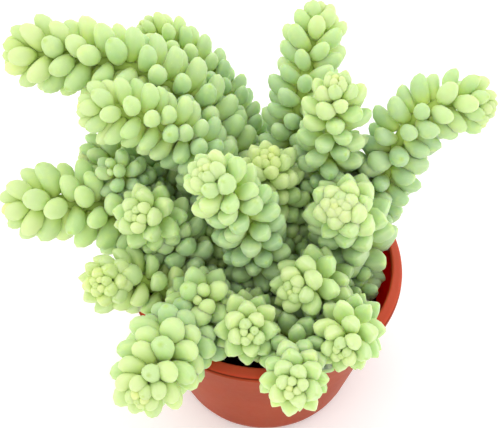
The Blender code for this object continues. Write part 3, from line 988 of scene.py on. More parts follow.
# On some stems that lie in shade, aged below 0 also paints light: lighter, younger leaves.
STEMS = (
    Stem("stem_long_left",
         ((-8, 28), (-10, 35, 84), (-21, 44, 104), (-34, 51, 125), (-52, 56, 137), (-71, 60, 142),
          (-93, 61, 144), (-110.5, 62, 145)),
         17.0, 34, inset=2.5, young=9.5, droop=6.0, opens=1.25, sharp=0.0, aged=-0.3),
    Stem("stem_back_left",
         ((2, 42), (-8, 58, 90), (-30, 77, 118), (-55, 89, 135)),
         13.0, 24, spread=76.0, young=9.0, opens=1.25, sharp=0.0, inset=1.0),
    Stem("stem_upper_left",
         ((-16, 14), (-18, 18, 84), (-23, 23, 108), (-32, 27, 125), (-44, 28, 136),
          (-59, 29, 142), (-76, 30, 143)),
         14.0, 24, 0.4, -1, inset=0.5, spread=80.0, young=9.5, opens=1.25, sharp=0.0,
         aged=-0.15),
    Stem("stem_far_left",
         ((-30, 6), (-44, 9, 80), (-66, 12, 98), (-84, 13, 103), (-99, 12, 103),
          (-110.5, 9, 100)),
         17.2, 20, 1.0, inset=2.5, spread=84.0, young=9.5, opens=1.25, sharp=0.0, aged=-0.2),
    Stem("stem_left_facing",
         ((-24, -7), (-32, -5, 80), (-45, 3, 101), (-53, -9, 121)),
         15.0, 12, 2.0, -1, spread=82.0, sharp=1.0, young=7.0),
    Stem("stem_middle",
         ((-2, -4), (-3, -6, 75), (-5, -6, 100), (-12, -5, 124), (-25, -9, 147)),
         15.0, 16, spread=76.0, sharp=0.6),
    Stem("stem_middle_back",
         ((6, 12), (8, 18, 85), (3, 19, 106), (0.5, 15.5, 127.5)),
         14.6, 14, 0.8, -1, spread=80.0, sharp=0.8, aged=-0.25),
    Stem("stem_back_top",
         ((12, 32), (12, 38, 85), (13, 46, 108), (16, 57, 124), (21, 75, 136), (24, 92, 145)),
         14.4, 30, 1.6, inset=3.0, young=9.5, opens=1.25, sharp=0.0),
    Stem("stem_back_right",
         ((22, 15), (23, 21, 80), (26, 27, 108), (28, 30, 134), (29, 33, 157)),
         14.4, 20, 2.6, -1, inset=2.0, young=10.0, sharp=0.6, opens=1.4),
    Stem("stem_far_right",
         ((34, 21), (45, 27, 86), (54, 31, 106), (60, 37, 122), (72, 43, 130), (86, 45, 131),
          (95, 41, 132)),
         15.2, 20, inset=0.5, spread=82.0, young=10.5, opens=1.25, sharp=0.0),
    Stem("stem_right_facing",
         ((33, 2), (38, 5, 75), (36, 7, 98), (29.5, -7, 124)),
         19.0, 14, 0.5, -1, spread=90.0, young=13.0, sharp=1.0),
    Stem("stem_front_middle",
         ((20, -9), (25, -13, 78), (19, -23, 92), (11, -33, 102)),
         15.0, 14, 1.2, spread=84.0, sharp=1.0, young=7.0),
    Stem("stem_front_right",
         ((28, -26), (34, -33, 76), (34, -45, 89), (29.5, -60, 97)),
         14.0, 14, 1.9, -1, spread=84.0, sharp=1.0, young=7.0),
    Stem("stem_front_over_lip",
         ((10, -30), (12, -40, 77), (12, -54, 83), (11, -66, 87), (10, -77, 97)),
         14.0, 20, 0.2, spread=84.0, sharp=1.0, airy=0.85, young=7.0),
    Stem("stem_front_upright",
         ((-6, -18), (-7, -31, 76), (-8, -42, 88), (-7.5, -54, 101)),
         14.0, 10, 2.2, -1, spread=84.0, sharp=1.0, young=7.0),
    Stem("stem_drooping_left",
         ((-20, -28), (-28, -36, 74), (-36, -46.5, 84), (-40, -54, 89.5), (-45, -67, 93),
          (-49.5, -82, 98)),
         17.0, 33, 0.9, inset=1.5, spread=82.0, young=10.0, airy=0.68, opens=1.4, sharp=0.0,
         aged=-0.15),
    Stem("stem_near_left",
         ((-32, -20), (-40, -20, 78), (-52, -18, 87), (-63, -20, 91), (-69, -30, 102)),
         14.0, 16, 1.4, -1, spread=82.0, sharp=1.0, aged=-0.35, young=9.0),
    Stem("shoot_right",
         ((32, -13), (35, -13, 68), (42.8, -6, 78)),
         9.5, 8, 0.6, young=2.0, aged=0.9, sharp=0.6),
    Stem("shoot_front_left",
         ((-14, -14), (-20, -20, 72), (-26, -28, 84), (-26.8, -34.5, 98)),
         15.0, 8, 1.1, -1, young=3.4, aged=0.3, sharp=1.0),
    Stem("shoot_middle", ((10, 1), (13, 2, 70), (15, 4, 86)), 11.0, 10, 2.0, young=3.0, aged=0.6),
    Stem("shoot_inner_left", ((-13, 4), (-19, 6, 72), (-27, 4, 90)), 11.0, 10, 1.5, -1, young=3.0),
    Stem("stem_behind_left",
         ((-22, 24), (-38, 31, 84), (-62, 35, 102), (-80, 36, 107)), 13.4, 20, 0.3, aged=0.3),
    Stem("shoot_left",
         ((-34, 16), (-46, 21, 84), (-58, 20, 106), (-65, 17, 120)),
         10.5, 30, 2.4, -1, young=3.0, aged=0.6),
)


class StemRoute:
    """The line that the middle of a stem follows, measured in mm from its tip."""

    # How deep the stem stands in the soil, and the distance between the line's marks.
    DEPTH = 9.0
    STEP = 0.5
    # Heights of the stem's lowest points over the soil's top, in the soil and just above it.
    RISES = (-DEPTH, -DEPTH / 2, 1.0, 6.0)
    # Places that the curve takes between two of the stem's points.
    PLACES = 33
    # Nearly straight up, but not the direction of any stem.
    UPRIGHT = (0.05, 0.1, 1.0)

    def __init__(self, stem: Stem, soil: SoilBed) -> None:
        """Lays the line through the stem's points.

        Args:
            stem: the stem.
            soil: the soil that it stands in.
        """
        x, y = stem.route[0]
        top = float(soil.height(math.hypot(x, y)))
        rooted = [(x, y, top + rise) for rise in self.RISES]
        fine = self.through(np.array(rooted + list(stem.route[1:]), float)[::-1])
        run = np.concatenate([[0.0], np.cumsum(np.linalg.norm(np.diff(fine, axis=0), axis=1))])
        self.length = float(run[-1])
        self.leafy = self.length - self.DEPTH - stem.bare
        self.marks = np.linspace(0.0, self.length, int(self.length / self.STEP) + 2)
        self.points = np.stack([np.interp(self.marks, run, fine[:, k]) for k in range(3)], axis=1)
        self.ahead = unit(-np.gradient(self.points, axis=0))
        self.normal = unit(np.cross(self.points[0] - self.points[-1], self.UPRIGHT))

    @classmethod
    def through(cls, points: np.ndarray) -> np.ndarray:
        """A centripetal Catmull-Rom curve: straight blends of blends of its four nearest points.

        Args:
            points: (n, 3) points that it passes through.

        Returns:
            Its places, as many for each stretch between two points.
        """
        padded = np.vstack([2 * points[0] - points[1], points, 2 * points[-1] - points[-2]])
        chord = np.sqrt(np.linalg.norm(np.diff(padded, axis=0), axis=1))
        knot = np.concatenate([[0.0], np.cumsum(chord)])
        p = [padded[k:len(padded) - 3 + k, None] for k in range(4)]
        t = [knot[k:len(padded) - 3 + k, None, None] for k in range(4)]
        at = t[1] + (t[2] - t[1]) * np.linspace(0, 1, cls.PLACES)[None, :, None]

        def blend(a: np.ndarray, b: np.ndarray, start: np.ndarray, end: np.ndarray) -> np.ndarray:
            """A straight blend from a at start to b at end."""
            return ((end - at) * a + (at - start) * b) / (end - start)

        a1, a2, a3 = (blend(p[k], p[k + 1], t[k], t[k + 1]) for k in range(3))
        b1, b2 = blend(a1, a2, t[0], t[2]), blend(a2, a3, t[1], t[3])
        curve = blend(b1, b2, t[1], t[2]).reshape(-1, 3)
        apart = np.linalg.norm(np.diff(curve, axis=0), axis=1)
        return curve[np.concatenate([[True], apart > TINY])]

    def at(self, marks: np.ndarray) -> tuple[np.ndarray, np.ndarray, np.ndarray, np.ndarray]:
        """Places and frames along the line.

        Args:
            marks: (n,) distances from the tip.

        Returns:
            Points, directions to the tip, sides and third axes, each (n, 3).
        """
        point, ahead = (
            np.stack([np.interp(marks, self.marks, rows[:, k]) for k in range(3)], axis=1)
            for rows in (self.points, self.ahead)
        )
        ahead = unit(ahead)
        side = unit(self.normal - ahead * (ahead @ self.normal)[:, None])
        return point, ahead, side, np.cross(ahead, side)


@dataclass
class LeafShape:
    """A leaf's own form, in shares of its length: an egg on a narrow foot, its big end outward.

    A pair gives a size of blunt leaves and of pointed ones.

    Attributes:
        rings: places along the leaf.
        widest, foot: place of full girth, and girth of the foot.
        rise: power of the girth's way up from the foot.
        bulge, closing: powers of the superellipse that closes the tip.
        half_width, upper, lower: half width, and depths above and below the middle line.
        keel: what a pointed leaf adds to the power that rounds its upper side.
        bend, low_point, lift, lifted: how far the middle line bends, twice the place of its
            lowest point, how far its tip is lifted and from where.
        tilt: how far the rings follow the middle line's slope.
        margin, rim_light_starts: how strongly the margin's painted rim light shows, and places
        along the leaf between which it starts.
    """

    sides: int = 12
    rings: tuple[float, ...] = (0.13, 0.38, 0.6, 0.79, 0.925)
    widest: float = 0.57
    foot: float = 0.42
    rise: float = 1.3
    bulge: tuple[float, float] = (2.2, 1.8)
    closing: tuple[float, float] = (0.58, 1.0)
    half_width: tuple[float, float] = (0.275, 0.305)
    upper: tuple[float, float] = (0.205, 0.165)
    lower: tuple[float, float] = (0.295, 0.325)
    keel: float = 0.25
    bend: float = 0.14
    low_point: float = 0.45
    lift: float = 0.06
    lifted: float = 0.6
    tilt: float = 0.6
    # The margin is painted rim light along the leaf's edges.
    margin: tuple[float, float] = (0.9, 1.0)
    rim_light_starts: tuple[float, float] = (0.3, 0.7)

    @staticmethod
    def between(pair: tuple[float, float], sharp: np.ndarray | float) -> np.ndarray | float:
        """A size between its value for blunt leaves and the one for pointed leaves."""
        return pair[0] + (pair[1] - pair[0]) * sharp

    def girth(self, along: np.ndarray, sharp: np.ndarray | float) -> np.ndarray:
        """Share of the full size at each place along the leaf.

        Up to the widest place it rises from the foot as a quarter sine, and past it it falls as
        a superellipse.

        Args:
            along: places from 0 at the root to 1 at the tip.
            sharp: 0 for a round end, 1 for a pointed one.

        Returns:
            Shares from the foot's to 1.
        """
        rise = np.sin(np.pi / 2 * np.clip(along / self.widest, 0, 1)) ** self.rise
        fall = np.clip((along - self.widest) / (1 - self.widest), 0, 1)
        end = (1 - fall ** self.between(self.bulge, sharp)) ** self.between(self.closing, sharp)
        return np.where(along < self.widest, self.foot + (1 - self.foot) * rise, end)

    def line(self, along: np.ndarray) -> np.ndarray:
        """Height of the leaf's middle line: a parabola that bends it in, and a lift at the tip."""
        bent = self.bend * (along ** 2 - self.low_point * along)
        return bent + self.lift * fade(self.lifted, 1.0, along)


@dataclass
class StalkShape:
    """The stalk's own form, in mm along it from the tip.

    Attributes:
        core, bare: radius of the core that leaves stand on, and of the bare stalk.
        within: the stalk's radius among leaves, in shares of the core's.
        widens: distance in which it widens from the bud.
        near, gap, step: places of its first rings after the bud, and steps to the next ones.
        tip: how far it reaches past its first ring.
        thins: distances past the last leaf between which it takes the bare stalk's radius.
        scarred: distance past the last leaf in which its scars reach their full height.
        scar_height, scar_rate: the scars' height in shares of the radius, and radians of their
            wave for each millimetre.
        bark_from, bark_full: share of the leafy length where bark sets in, and distance past the
            last leaf where all is bark.
    """

    sides: int = 14
    core: float = 3.3
    bare: float = 2.5
    within: float = 0.9
    widens: float = 6.0
    near: tuple[float, ...] = (1.6, 2.4, 3.6, 5.2)
    gap: float = 2.3
    step: float = 2.4
    tip: float = 0.5
    thins: tuple[float, float] = (-2.0, 8.0)
    scarred: float = 6.0
    scar_height: float = 0.05
    scar_rate: float = 2.6
    bark_from: float = 0.6
    bark_full: float = 12.0

    def marks(self, inset: float, length: float) -> np.ndarray:
        """Distances of the stalk's rings from the tip of a route that is so long."""
        near = inset + np.array(self.near)
        return np.concatenate([near, np.arange(near[-1] + self.gap, length, self.step), [length]])

    def radius(self, marks: np.ndarray, inset: float, leafy: float) -> np.ndarray:
        """Radius at each distance from the tip.

        Among leaves it is the root of one less an exponential, which rounds it off at the bud.
        Below them it is the bare stalk's, with a sine wave of low rings where leaves have
        dropped.

        Args:
            marks: distances from the tip.
            inset: the bud's distance.
            leafy: the last leaf's distance.

        Returns:
            A radius for each distance.
        """
        radius = self.core * np.sqrt(1 - np.exp(-(marks - inset) / self.widens)) * self.within
        thins = fade(*(leafy + past for past in self.thins), marks)
        radius += (self.bare - radius) * thins
        scarred = fade(leafy, leafy + self.scarred, marks)
        return radius * (1 + self.scar_height * np.sin(marks * self.scar_rate) * scarred)


@dataclass
class Leaves:
    """All leaves of the plant as arrays, one row for each leaf."""

    stem: np.ndarray
    root: np.ndarray
    forward: np.ndarray
    upward: np.ndarray
    across: np.ndarray
    length: np.ndarray
    plump: np.ndarray
    sharp: np.ndarray
    age: np.ndarray
    tone: np.ndarray

    @classmethod
    def joined(cls, groups: list[Leaves]) -> Leaves:
        """The leaves of several groups, one after another."""
        names = [item.name for item in fields(cls)]
        return cls(*(np.concatenate([getattr(group, name) for group in groups]) for name in names))

    def only(self, chosen: np.ndarray) -> Leaves:
        """Some of the leaves."""
        return Leaves(*(getattr(self, item.name)[chosen] for item in fields(self)))

    def point(self, forward: np.ndarray) -> None:
        """Points each leaf in a new direction, and turns its other axes with it.

        Args:
            forward: the new directions, of length one.
        """
        shadow = np.sum(self.upward * forward, axis=1, keepdims=True)
        self.upward = unit(self.upward - forward * shadow)
        self.forward = forward
        self.across = np.cross(forward, self.upward)


@dataclass(frozen=True)
class Vary:
    """A small random difference between leaves, which sets in between two leaf numbers."""

    size: float
    low: float
    high: float

    def drawn(self, draw: np.random.Generator, number: np.ndarray) -> np.ndarray:
        """One difference for each leaf number."""
        return draw.normal(0, self.size, len(number)) * fade(self.low, self.high, number)


@dataclass
class BurrosTail:
    """The plant: its stems, their leaves, and how they make room for each other.

    Attributes:
        most_leaves: more leaves than any stem has room for.
        spacing, first_step: step from leaf to leaf in shares of the leaf, and in mm at the bud.
        dense: shares of a stem's young count between which the step grows to the full one.
        bud_length, bud_angle: size of the first leaf, and its angle to the stem.
        length_power, angle_power: how suddenly leaves grow and open.
        drooping: distances from the tip between which old leaves droop.
        turn_vary, length_vary, angle_vary, sway_vary: random differences in a leaf's place round
            the stem, its length, its angle to the stem and its lean to one side.
        roll, plump_vary: spread of the random roll, in radians, and of the random plumpness.
        bud_plump, flat_plump: how much plumper the first leaf is, and what of it pointed leaves
            lack.
        plump_leaves: how many leaves it takes for that to fall to about a third.
        sharp_leaves: leaf numbers between which leaves take the stem's own sharpness.
        oldest, age_power: number of the oldest-looking leaf, and how fast they age up to it.
        sunk: where leaves start, in shares of the stalk's core.
        near: reach in shares of the leaves' lengths within which they can touch.
        ball_places, ball_sizes: the balls that stand for a leaf, in shares of its length.
        early: share of the rounds in which stems push each other.
        push: share of an overlap that pushes each of the two leaves.
        give, back: shares of its pushes that a leaf gives way, and of its way that it goes back.
        wall_room, lip_room, soil_room: room that is kept off the wall, round the middle of the
            lip and over the soil.
        below_lip: how far under the crest the wall takes over from the lip.
        shorter: what a stuck leaf's length is multiplied by in each trimming round.
        stuck_from, stuck_ball: depth from which a leaf is stuck, for balls of that share.
        shade_low, shade_far: heights and distances from the axis between which the painted shade
        of the leaves gives way.
    """

    pot: NurseryPot
    soil: SoilBed
    skin: LeafSkin = field(default_factory=LeafSkin)
    stalk: StalkSkin = field(default_factory=StalkSkin)
    shape: LeafShape = field(default_factory=LeafShape)
    tube: StalkShape = field(default_factory=StalkShape)
    most_leaves: int = 600
    spacing: float = 0.074
    first_step: float = 0.7
    dense: tuple[float, float] = (0.7, 2.2)
    bud_length: float = 0.29
    bud_angle: float = math.radians(13)
    length_power: float = 1.6
    angle_power: float = 1.74
    drooping: tuple[float, float] = (20, 55)
    turn_vary: Vary = Vary(0.05, 4, 12)
    length_vary: Vary = Vary(0.045, 5, 14)
    angle_vary: Vary = Vary(0.07, 6, 16)
    sway_vary: Vary = Vary(0.09, 6, 16)
    roll: float = 0.12
    plump_vary: float = 0.05
    bud_plump: float = 0.5
    flat_plump: float = 0.08
    plump_leaves: float = 6.0
    sharp_leaves: tuple[float, float] = (1, 9)
    oldest: float = 55
    age_power: float = 0.6
    sunk: float = 0.55
    near: float = 0.9
    ball_places: tuple[float, ...] = (0.3, 0.6, 0.86)
    ball_sizes: tuple[float, ...] = (0.2, 0.27, 0.19)
    settling_rounds: int = 40
    early: float = 0.75
    push: float = 0.35
    give: float = 0.45
    back: float = 0.08
    wall_room: float = 0.3
    lip_room: float = 2.6
    soil_room: float = 0.6
    below_lip: float = 4.0
    trimming_rounds: int = 4
    shorter: float = 0.86
    stuck_from: float = 0.5
    stuck_ball: float = 0.9
    shade_low: tuple[float, float] = (70.0, 108.0)
    shade_far: tuple[float, float] = (38.0, 66.0)

    def __post_init__(self) -> None:
        """Lays out every stem and its leaves."""
        self.routes = [StemRoute(stem, self.soil) for stem in STEMS]
        draw = np.random.default_rng(SEED + 1)
        self.leaves = Leaves.joined([self.lay_out(k, draw) for k in range(len(STEMS))])
        self.settle()
        self.trim()
        LOG.info("leaves: %d", len(self.leaves.length))

    def marks(self, stem: Stem, leafy: float) -> np.ndarray:
        """Distance of each leaf from the stem's tip.

        The step from leaf to leaf grows smoothly from the first step to the full one.

        Args:
            stem: the stem.
            leafy: the distance from the tip to the bare stalk.

        Returns:
            Distances in order from the tip, as far as the bare stalk.
        """
        number = np.arange(self.most_leaves)
        full = self.spacing * stem.airy * stem.leaf
        grow = fade(*(share * stem.young for share in self.dense), number)
        marks = stem.inset + np.cumsum(self.first_step + (full - self.first_step) * grow)
        return marks[marks < leafy]

    def lay_out(self, index: int, draw: np.random.Generator) -> Leaves:
        """Places the leaves of one stem on a golden-angle spiral.

        Leaf n of the spiral turns by n golden angles. Its size and its angle to the stem grow
        from the bud's as one less the exponential of a power of its number over the stem's young
        count, the angle more slowly than the size.

        Args:
            index: which stem.
            draw: the seeded source of small differences.

        Returns:
            The stem's leaves.
        """
        stem, route = STEMS[index], self.routes[index]
        marks = self.marks(stem, route.leafy)
        count = len(marks)
        number = np.arange(count)
        growth = (number + 1) / stem.young
        point, ahead, side, third = route.at(marks)
        angle = stem.turn + stem.hand * GOLDEN_ANGLE * number + self.turn_vary.drawn(draw, number)
        out = np.cos(angle)[:, None] * side + np.sin(angle)[:, None] * third
        across = np.cross(ahead, out)
        grown = 1 - np.exp(-(growth ** self.length_power))
        length = stem.leaf * (self.bud_length + (1 - self.bud_length) * grown)
        length = length * (1 + self.length_vary.drawn(draw, number))
        opened = 1 - np.exp(-((growth / stem.opens) ** self.angle_power))
        opening = self.bud_angle + (math.radians(stem.spread) - self.bud_angle) * opened
        opening = opening + math.radians(stem.droop) * fade(*self.drooping, marks)
        opening = (opening + self.angle_vary.drawn(draw, number))[:, None]
        sway = self.sway_vary.drawn(draw, number)[:, None]
        forward = unit(ahead * np.cos(opening) + out * np.sin(opening) + across * sway)
        roll = draw.normal(0, self.roll, count)[:, None]
        upward = unit(ahead * np.sin(opening) - out * np.cos(opening) + across * roll)
        upward = unit(upward - forward * np.sum(forward * upward, axis=1, keepdims=True))
        core = self.tube.core * np.sqrt(1 - np.exp(-growth))
        budding = np.exp(-number / self.plump_leaves)
        plump = 1 + draw.normal(0, self.plump_vary, count)
        return Leaves(
            stem=np.full(count, index),
            root=point + out * (self.sunk * core)[:, None],
            forward=forward,
            upward=upward,
            across=np.cross(forward, upward),
            length=length,
            plump=plump + (self.bud_plump - self.flat_plump * stem.sharp) * budding,
            sharp=stem.sharp * fade(*self.sharp_leaves, number),
            age=np.clip(
                stem.aged + np.clip(number / self.oldest, 0, 1) ** self.age_power, 0, 1
            ),
            tone=draw.random(count),
        )

    def balls(self) -> tuple[np.ndarray, np.ndarray]:
        """The balls that stand for each leaf, strung along its middle line.

        Returns:
            Their centres, (leaves, balls, 3), and their radii, (leaves, balls).
        """
        leaves = self.leaves
        along = np.array(self.ball_places)
        reach = leaves.length[:, None] * along
        lift = leaves.length[:, None] * self.shape.line(along)
        centres = (
            leaves.root[:, None]
            + reach[..., None] * leaves.forward[:, None]
            + lift[..., None] * leaves.upward[:, None]
        )
        return centres, (leaves.length * leaves.plump)[:, None] * np.array(self.ball_sizes)

    def settle(self) -> None:
        """Turns leaves about their roots until neighbouring stems, pot and soil have room.

        In each round every pair of overlapping balls of different stems gives both leaves a
        share of the overlap as a push, and the pot's wall, its lip and the soil push too. A leaf
        turns by the sum of its pushes, and a little back towards where it grew. In the last
        rounds only the pot and the soil push, so that no leaf ends in them.
        """
        leaves = self.leaves
        home = leaves.forward.copy()
        middle = self.balls()[0][:, 1]
        span = np.linalg.norm(middle[:, None] - middle[None], axis=-1)
        near = span < self.near * (leaves.length[:, None] + leaves.length[None])
        near &= leaves.stem[:, None] != leaves.stem[None]
        first, second = np.nonzero(np.triu(near, 1))
        weight = np.array(self.ball_places)
        for turn in range(self.settling_rounds):
            early = turn < self.early * self.settling_rounds
            centres, radii = self.balls()
            push = (self.wall_push(centres, radii) * weight[:, None]).sum(axis=1)
            if early:
                gap = centres[first][:, :, None] - centres[second][:, None]
                apart = np.linalg.norm(gap, axis=-1) + TINY
                over = radii[first][:, :, None] + radii[second][:, None] - apart
                step = gap * (self.push * np.clip(over, 0, None) / apart)[..., None]
                np.add.at(push, first, (step * weight[:, None, None]).sum(axis=(1, 2)))
                np.add.at(push, second, -(step * weight[None, :, None]).sum(axis=(1, 2)))
            turned = leaves.forward + self.give * push / leaves.length[:, None]
            leaves.point(unit(turned + (self.back if early else 0.0) * (home - leaves.forward)))
        moved = np.degrees(np.arccos(np.clip(np.sum(home * leaves.forward, axis=1), -1, 1)))
        LOG.info("leaves turned to make room: %d by over 10 degrees", int((moved > 10).sum()))

    def trim(self) -> None:
        """Shortens the leaves that still reach into the pot or the soil, and drops the last."""
        for _ in range(self.trimming_rounds):
            self.leaves.length[self.stuck()] *= self.shorter
        free = ~self.stuck()
        LOG.info("leaves left out for lack of room: %d", int((~free).sum()))
        self.leaves = self.leaves.only(free)

    def stuck(self) -> np.ndarray:
        """Which leaves reach too far into the pot or the soil.

        Returns:
            True for each leaf that does.
        """
        centres, radii = self.balls()
        depth = np.linalg.norm(self.wall_push(centres, self.stuck_ball * radii), axis=-1)
        return depth.max(axis=1) > self.stuck_from

    def wall_push(self, centres: np.ndarray, radii: np.ndarray) -> np.ndarray:
        """How far the pot and the soil push each ball.

        A leaf that grows below the lip is kept on the side of the wall that its root is on.

        Args:
            centres: the balls' centres.
            radii: the balls' radii.

        Returns:
            A push for each ball, in mm.
        """
        pot, root = self.pot, self.leaves.root
        flat, height = np.linalg.norm(centres[..., :2], axis=-1), centres[..., 2]
        outward = centres / (flat[..., None] + TINY) * (1.0, 1.0, 0.0)
        upright = np.array([0.0, 0.0, 1.0])
        wall = pot.inner_radius(np.minimum(height, pot.height)) + pot.wall / 2
        off = flat - wall
        root_off = np.linalg.norm(root[:, :2], axis=1) - pot.wall_top_radius
        sunken = root[:, 2] < pot.height
        side = np.where(np.where(sunken, root_off, off[:, -1]) < 0, -1.0, 1.0)[:, None]
        beside = height < pot.height - self.below_lip
        deep = np.clip(radii + pot.wall / 2 + self.wall_room - side * off, 0, None) * beside
        from_lip = flat - (pot.lip_radius + pot.lip_crest_radius) / 2
        over_lip = height - (pot.height - pot.lip_drop)
        away = np.hypot(from_lip, over_lip) + TINY
        lip = np.clip(radii + self.lip_room - away, 0, None) * ~beside / away
        sunk = np.clip(self.soil.height(flat) + self.soil_room + radii - height, 0, None)
        sideways = side * deep + lip * from_lip
        upwards = lip * over_lip + sunk * (flat < wall)
        return outward * sideways[..., None] + upright * upwards[..., None]

    def leaf_mesh(self, chosen: np.ndarray) -> tuple[np.ndarray, ...]:
        """Points, faces and attributes of some leaves.

        A leaf is a surface of u along it and v round it: the middle line at u, plus the half
        width times girth(u) cos v across, plus the upper or lower depth times girth(u) sin v
        upward. Both ends close in a point.

        Args:
            chosen: which leaves.

        Returns:
            Points, quads, triangles, and the attributes along, side and the leaf of each point;
            side places the painted rim light of the margins.
        """
        shape, leaves = self.shape, self.leaves.only(chosen)
        along, around = np.array(shape.rings), turns(shape.sides)
        length, sharp = leaves.length[:, None], leaves.sharp[:, None]
        full, rise = length * leaves.plump[:, None], np.sin(around)
        depth = np.where(
            rise > 0,
            shape.between(shape.upper, sharp) * np.abs(rise) ** (1 + shape.keel * sharp),
            -shape.between(shape.lower, sharp) * np.abs(rise),
        )
        wide = full * shape.girth(along, sharp) * shape.between(shape.half_width, sharp)
        wide = wide[:, :, None] * np.cos(around)
        swell = (full * shape.girth(along, 0.0))[:, :, None] * depth[:, None]
        tall = swell + (length * shape.line(along))[:, :, None]
        slope = np.gradient(shape.line(along), along)
        reach = (length * along)[:, :, None] - shape.tilt * slope[:, None] * swell
        forward, across, upward, root = (
            axis[:, None, None]
            for axis in (leaves.forward, leaves.across, leaves.upward, leaves.root)
        )
        rings = root + (
            reach[..., None] * forward + wide[..., None] * across + tall[..., None] * upward
        )
        end = leaves.root + length * (
            leaves.forward + shape.line(np.array(1.0)) * leaves.upward
        )
        points = np.concatenate(
            [rings.reshape(len(chosen), -1, 3), leaves.root[:, None], end[:, None]], axis=1
        )
        size = points.shape[1]
        start = (np.arange(len(chosen)) * size)[:, None, None]
        quads, triangles = shell_faces(len(along), shape.sides, flipped=True)
        along_leaf = np.concatenate([np.repeat(along, shape.sides), [0.0, 1.0]])
        # Where the margins' painted rim light lies: strongest at the leaf's two edges.
        margin = np.tile(np.abs(np.cos(around)), len(along))
        margin = np.concatenate([margin * fade(*shape.rim_light_starts, along_leaf[:-2]), [0.0, 1.0]])
        margin = margin * shape.between(shape.margin, sharp)
        return (
            points.reshape(-1, 3),
            (start + quads).reshape(-1, 4),
            (start + triangles).reshape(-1, 3),
            np.tile(along_leaf, len(chosen)),
            margin.ravel(),
            np.repeat(chosen, size),
        )

    def stalk_mesh(self, index: int) -> tuple[np.ndarray, np.ndarray, np.ndarray, np.ndarray]:
        """The stalk inside the leaves: a tube along the route, closed at the bud and the root.

        A point is the route's point at u, plus the radius at u times cos v sideways and sin v
        along the third axis.

        Args:
            index: which stem.

        Returns:
            Points, quads, triangles and the age of each point.
        """
        inset, route, tube = STEMS[index].inset, self.routes[index], self.tube
        marks = tube.marks(inset, route.length)
        point, _, side, third = route.at(marks)
        radius = tube.radius(marks, inset, route.leafy)[:, None, None]
        around = turns(tube.sides)[None, :, None]
        rings = point[:, None] + radius * (
            np.cos(around) * side[:, None] + np.sin(around) * third[:, None]
        )
        tip = route.at(marks[:1] - tube.tip)[0]
        points = np.vstack([rings.reshape(-1, 3), tip, point[-1:]])
        every = np.concatenate([np.repeat(marks, tube.sides), [0.0, route.length]])
        age = fade(route.leafy * tube.bark_from, route.leafy + tube.bark_full, every)
        return points, *shell_faces(len(marks), tube.sides, flipped=True), age

    def build(self) -> None:
        """Makes one piece for each stem, its stalk and leaves together, and hands it over."""
        finishes = [self.skin.make(), self.stalk.make()]
        leaves = self.leaves
        for index, stem in enumerate(STEMS):
            chosen = np.nonzero(leaves.stem == index)[0]
            points, quads, fans, along, side, owner = self.leaf_mesh(chosen)
            stalk_points, stalk_quads, stalk_fans, stalk_age = self.stalk_mesh(index)
            own, blank = len(points), np.zeros(len(stalk_points))
            of_stalk = [
                np.full(len(faces), is_stalk)
                for faces, is_stalk in ((quads, 0), (stalk_quads, 1), (fans, 0), (stalk_fans, 1))
            ]
            piece = make_piece(
                stem.name.replace("stem_", "tail_").replace("shoot_", "side_shoot_"),
                np.vstack([points, stalk_points]),
                np.vstack([quads, stalk_quads + own]),
                np.vstack([fans, stalk_fans + own]),
                finishes,
                {
                    "along": np.concatenate([along, blank]),
                    "side": np.concatenate([side, blank]),
                    "age": np.concatenate([leaves.age[owner], stalk_age]),
                    "tone": np.concatenate([leaves.tone[owner], blank]),
                    # How deep in the plant each point lies, where the leaves are painted darker as
                    # shade.
                    "deep": np.concatenate([self.depth_in_plant(points), blank]),
                },
                np.concatenate(of_stalk),
            )
            hand_over(piece, stem.name)

    def depth_in_plant(self, points: np.ndarray) -> np.ndarray:
        """Depth in the plant, for the painted shade: 1 low in the middle, 0 high or far out."""
        far = np.linalg.norm(points[:, :2], axis=1)
        return (1 - fade(*self.shade_low, points[:, 2])) * (1 - fade(*self.shade_far, far))


@dataclass(frozen=True)
class Lamp:
    """A soft square lamp: its name, where it hangs in metres, its power in watts, its colour."""

    name: str
    place: tuple[float, float, float]
    power: float
    colour: str


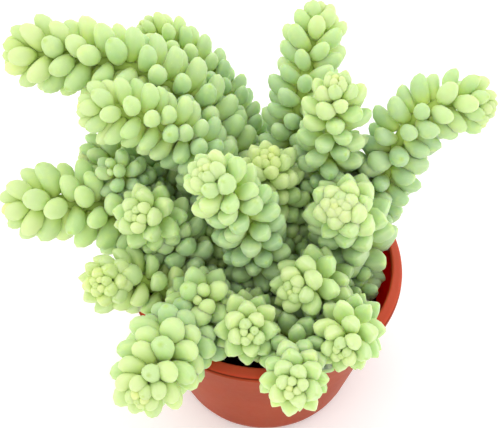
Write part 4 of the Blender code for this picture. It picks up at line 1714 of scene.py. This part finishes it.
@dataclass
class Studio:
    """The pale floor, the soft lights and the camera at the photograph's angle.

    Attributes:
        board, glow: the floor's colour, and how strongly it glows, which thins the shadows.
        board_drop_mm: how far the floor lies under the pot.
        roller: the floor's fine roller texture.
        lamps, lamp_size: the lamps and their side in metres.
        aim: the place that the lamps look at, in metres.
        room: brightness of the white room.
    """

    board: str = "#FFFFFF"
    glow: float = 0.15
    board_size_mm: float = 6000.0
    board_drop_mm: float = 0.05
    board_roughness: float = 0.8
    roller: Grain = Grain(2.5, 2.0, 0.02, 0.1)
    lamps: tuple[Lamp, ...] = (
        Lamp("key_light", (-0.5, 0.5, 1.0), 2.8, "#FFFDF8"),
        Lamp("fill_light", (1.0, 0.4, 0.45), 3.2, "#FBFDFF"),
        Lamp("front_light", (-0.8, -0.8, 0.75), 2.0, "#FFFFFF"),
    )
    lamp_size: float = 0.9
    aim: tuple[float, float, float] = (0.0, 0.01, 0.08)
    room: float = 1.03
    elevation: float = math.radians(50.65)
    distance_mm: float = 600.0
    lens: float = 98.5
    sensor: float = 36.0
    target_mm: tuple[float, float, float] = (-6.92, 15.94, 91.07)

    def lay_floor(self) -> None:
        """A flat square of painted board, with a very fine roller texture and a faint glow."""
        half, drop = self.board_size_mm / 2, -self.board_drop_mm
        corners = np.array([(-half, -half, drop), (half, -half, drop), (half, half, drop),
                            (-half, half, drop)])
        material, tree, shader = new_material("painted_board")
        place = add_node(tree, "TexCoord").outputs["Object"]
        roller = add_node(tree, "TexNoise", self.roller.at(place)).outputs["Fac"]
        bump = add_node(tree, "Bump", self.roller.relief(roller)).outputs["Normal"]
        set_inputs(
            tree, shader,
            {
                "Base Color": linear(self.board), "Normal": bump,
                "Roughness": self.board_roughness, "Emission Color": linear(self.board),
                "Emission Strength": self.glow,
            },
        )
        floor = make_piece(
            "studio_floor", corners, np.array([[0, 1, 2, 3]]), np.zeros((0, 3), int), [material]
        )

    def hang(self, lamp: Lamp) -> None:
        """Hangs one lamp so that it looks at the plant.

        Args:
            lamp: the lamp.
        """
        light = bpy.data.lights.new(lamp.name, "AREA")
        light.size = self.lamp_size
        light.energy = lamp.power
        light.color = linear(lamp.colour)[:3]
        holder = bpy.data.objects.new(lamp.name, light)
        holder.location = lamp.place
        x, y, z = np.array(self.aim) - np.array(lamp.place)
        holder.rotation_euler = (math.atan2(math.hypot(x, y), -z), 0.0, math.atan2(-x, y))
        bpy.context.scene.collection.objects.link(holder)

    def set_lights(self) -> None:
        """A key from behind at the left, a fill from the right, a front lamp and a white room."""
        for lamp in self.lamps:
            self.hang(lamp)
        world = bpy.data.worlds.new("pale_room")
        bpy.context.scene.world = world
        world.use_nodes = True
        back = world.node_tree.nodes["Background"]
        set_inputs(world.node_tree, back, {"Color": linear("#FFFFFF"), "Strength": self.room})

    def set_camera(self) -> None:
        """Looks along +Y and down, as the photograph does."""
        back = np.array([0.0, -math.cos(self.elevation), math.sin(self.elevation)])
        camera = bpy.data.cameras.new("photo_camera")
        camera.lens = self.lens
        camera.sensor_width = self.sensor
        camera.clip_start = 0.01
        holder = bpy.data.objects.new("photo_camera", camera)
        holder.location = (np.array(self.target_mm) + back * self.distance_mm) * MM
        holder.rotation_euler = (math.pi / 2 - self.elevation, 0.0, 0.0)
        bpy.context.scene.collection.objects.link(holder)
        bpy.context.scene.camera = holder

    def build(self) -> None:
        """Makes the floor, the lights and the camera."""
        self.lay_floor()
        self.set_lights()
        self.set_camera()
        bpy.context.scene.view_settings.view_transform = "Standard"


def main() -> None:
    """Builds the pot, the soil, the plant and the studio."""
    logging.basicConfig(level=logging.INFO, format="%(message)s")
    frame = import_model()
    LOG.info("nodes in the frame: %d", len(frame["nodes"]))
    pot = NurseryPot()
    hand_over(pot.build(), "pot")
    soil = SoilBed(pot)
    hand_over(soil.build(), "soil")
    BurrosTail(pot, soil).build()
    Studio().build()


if __name__ == "__main__":
    main()
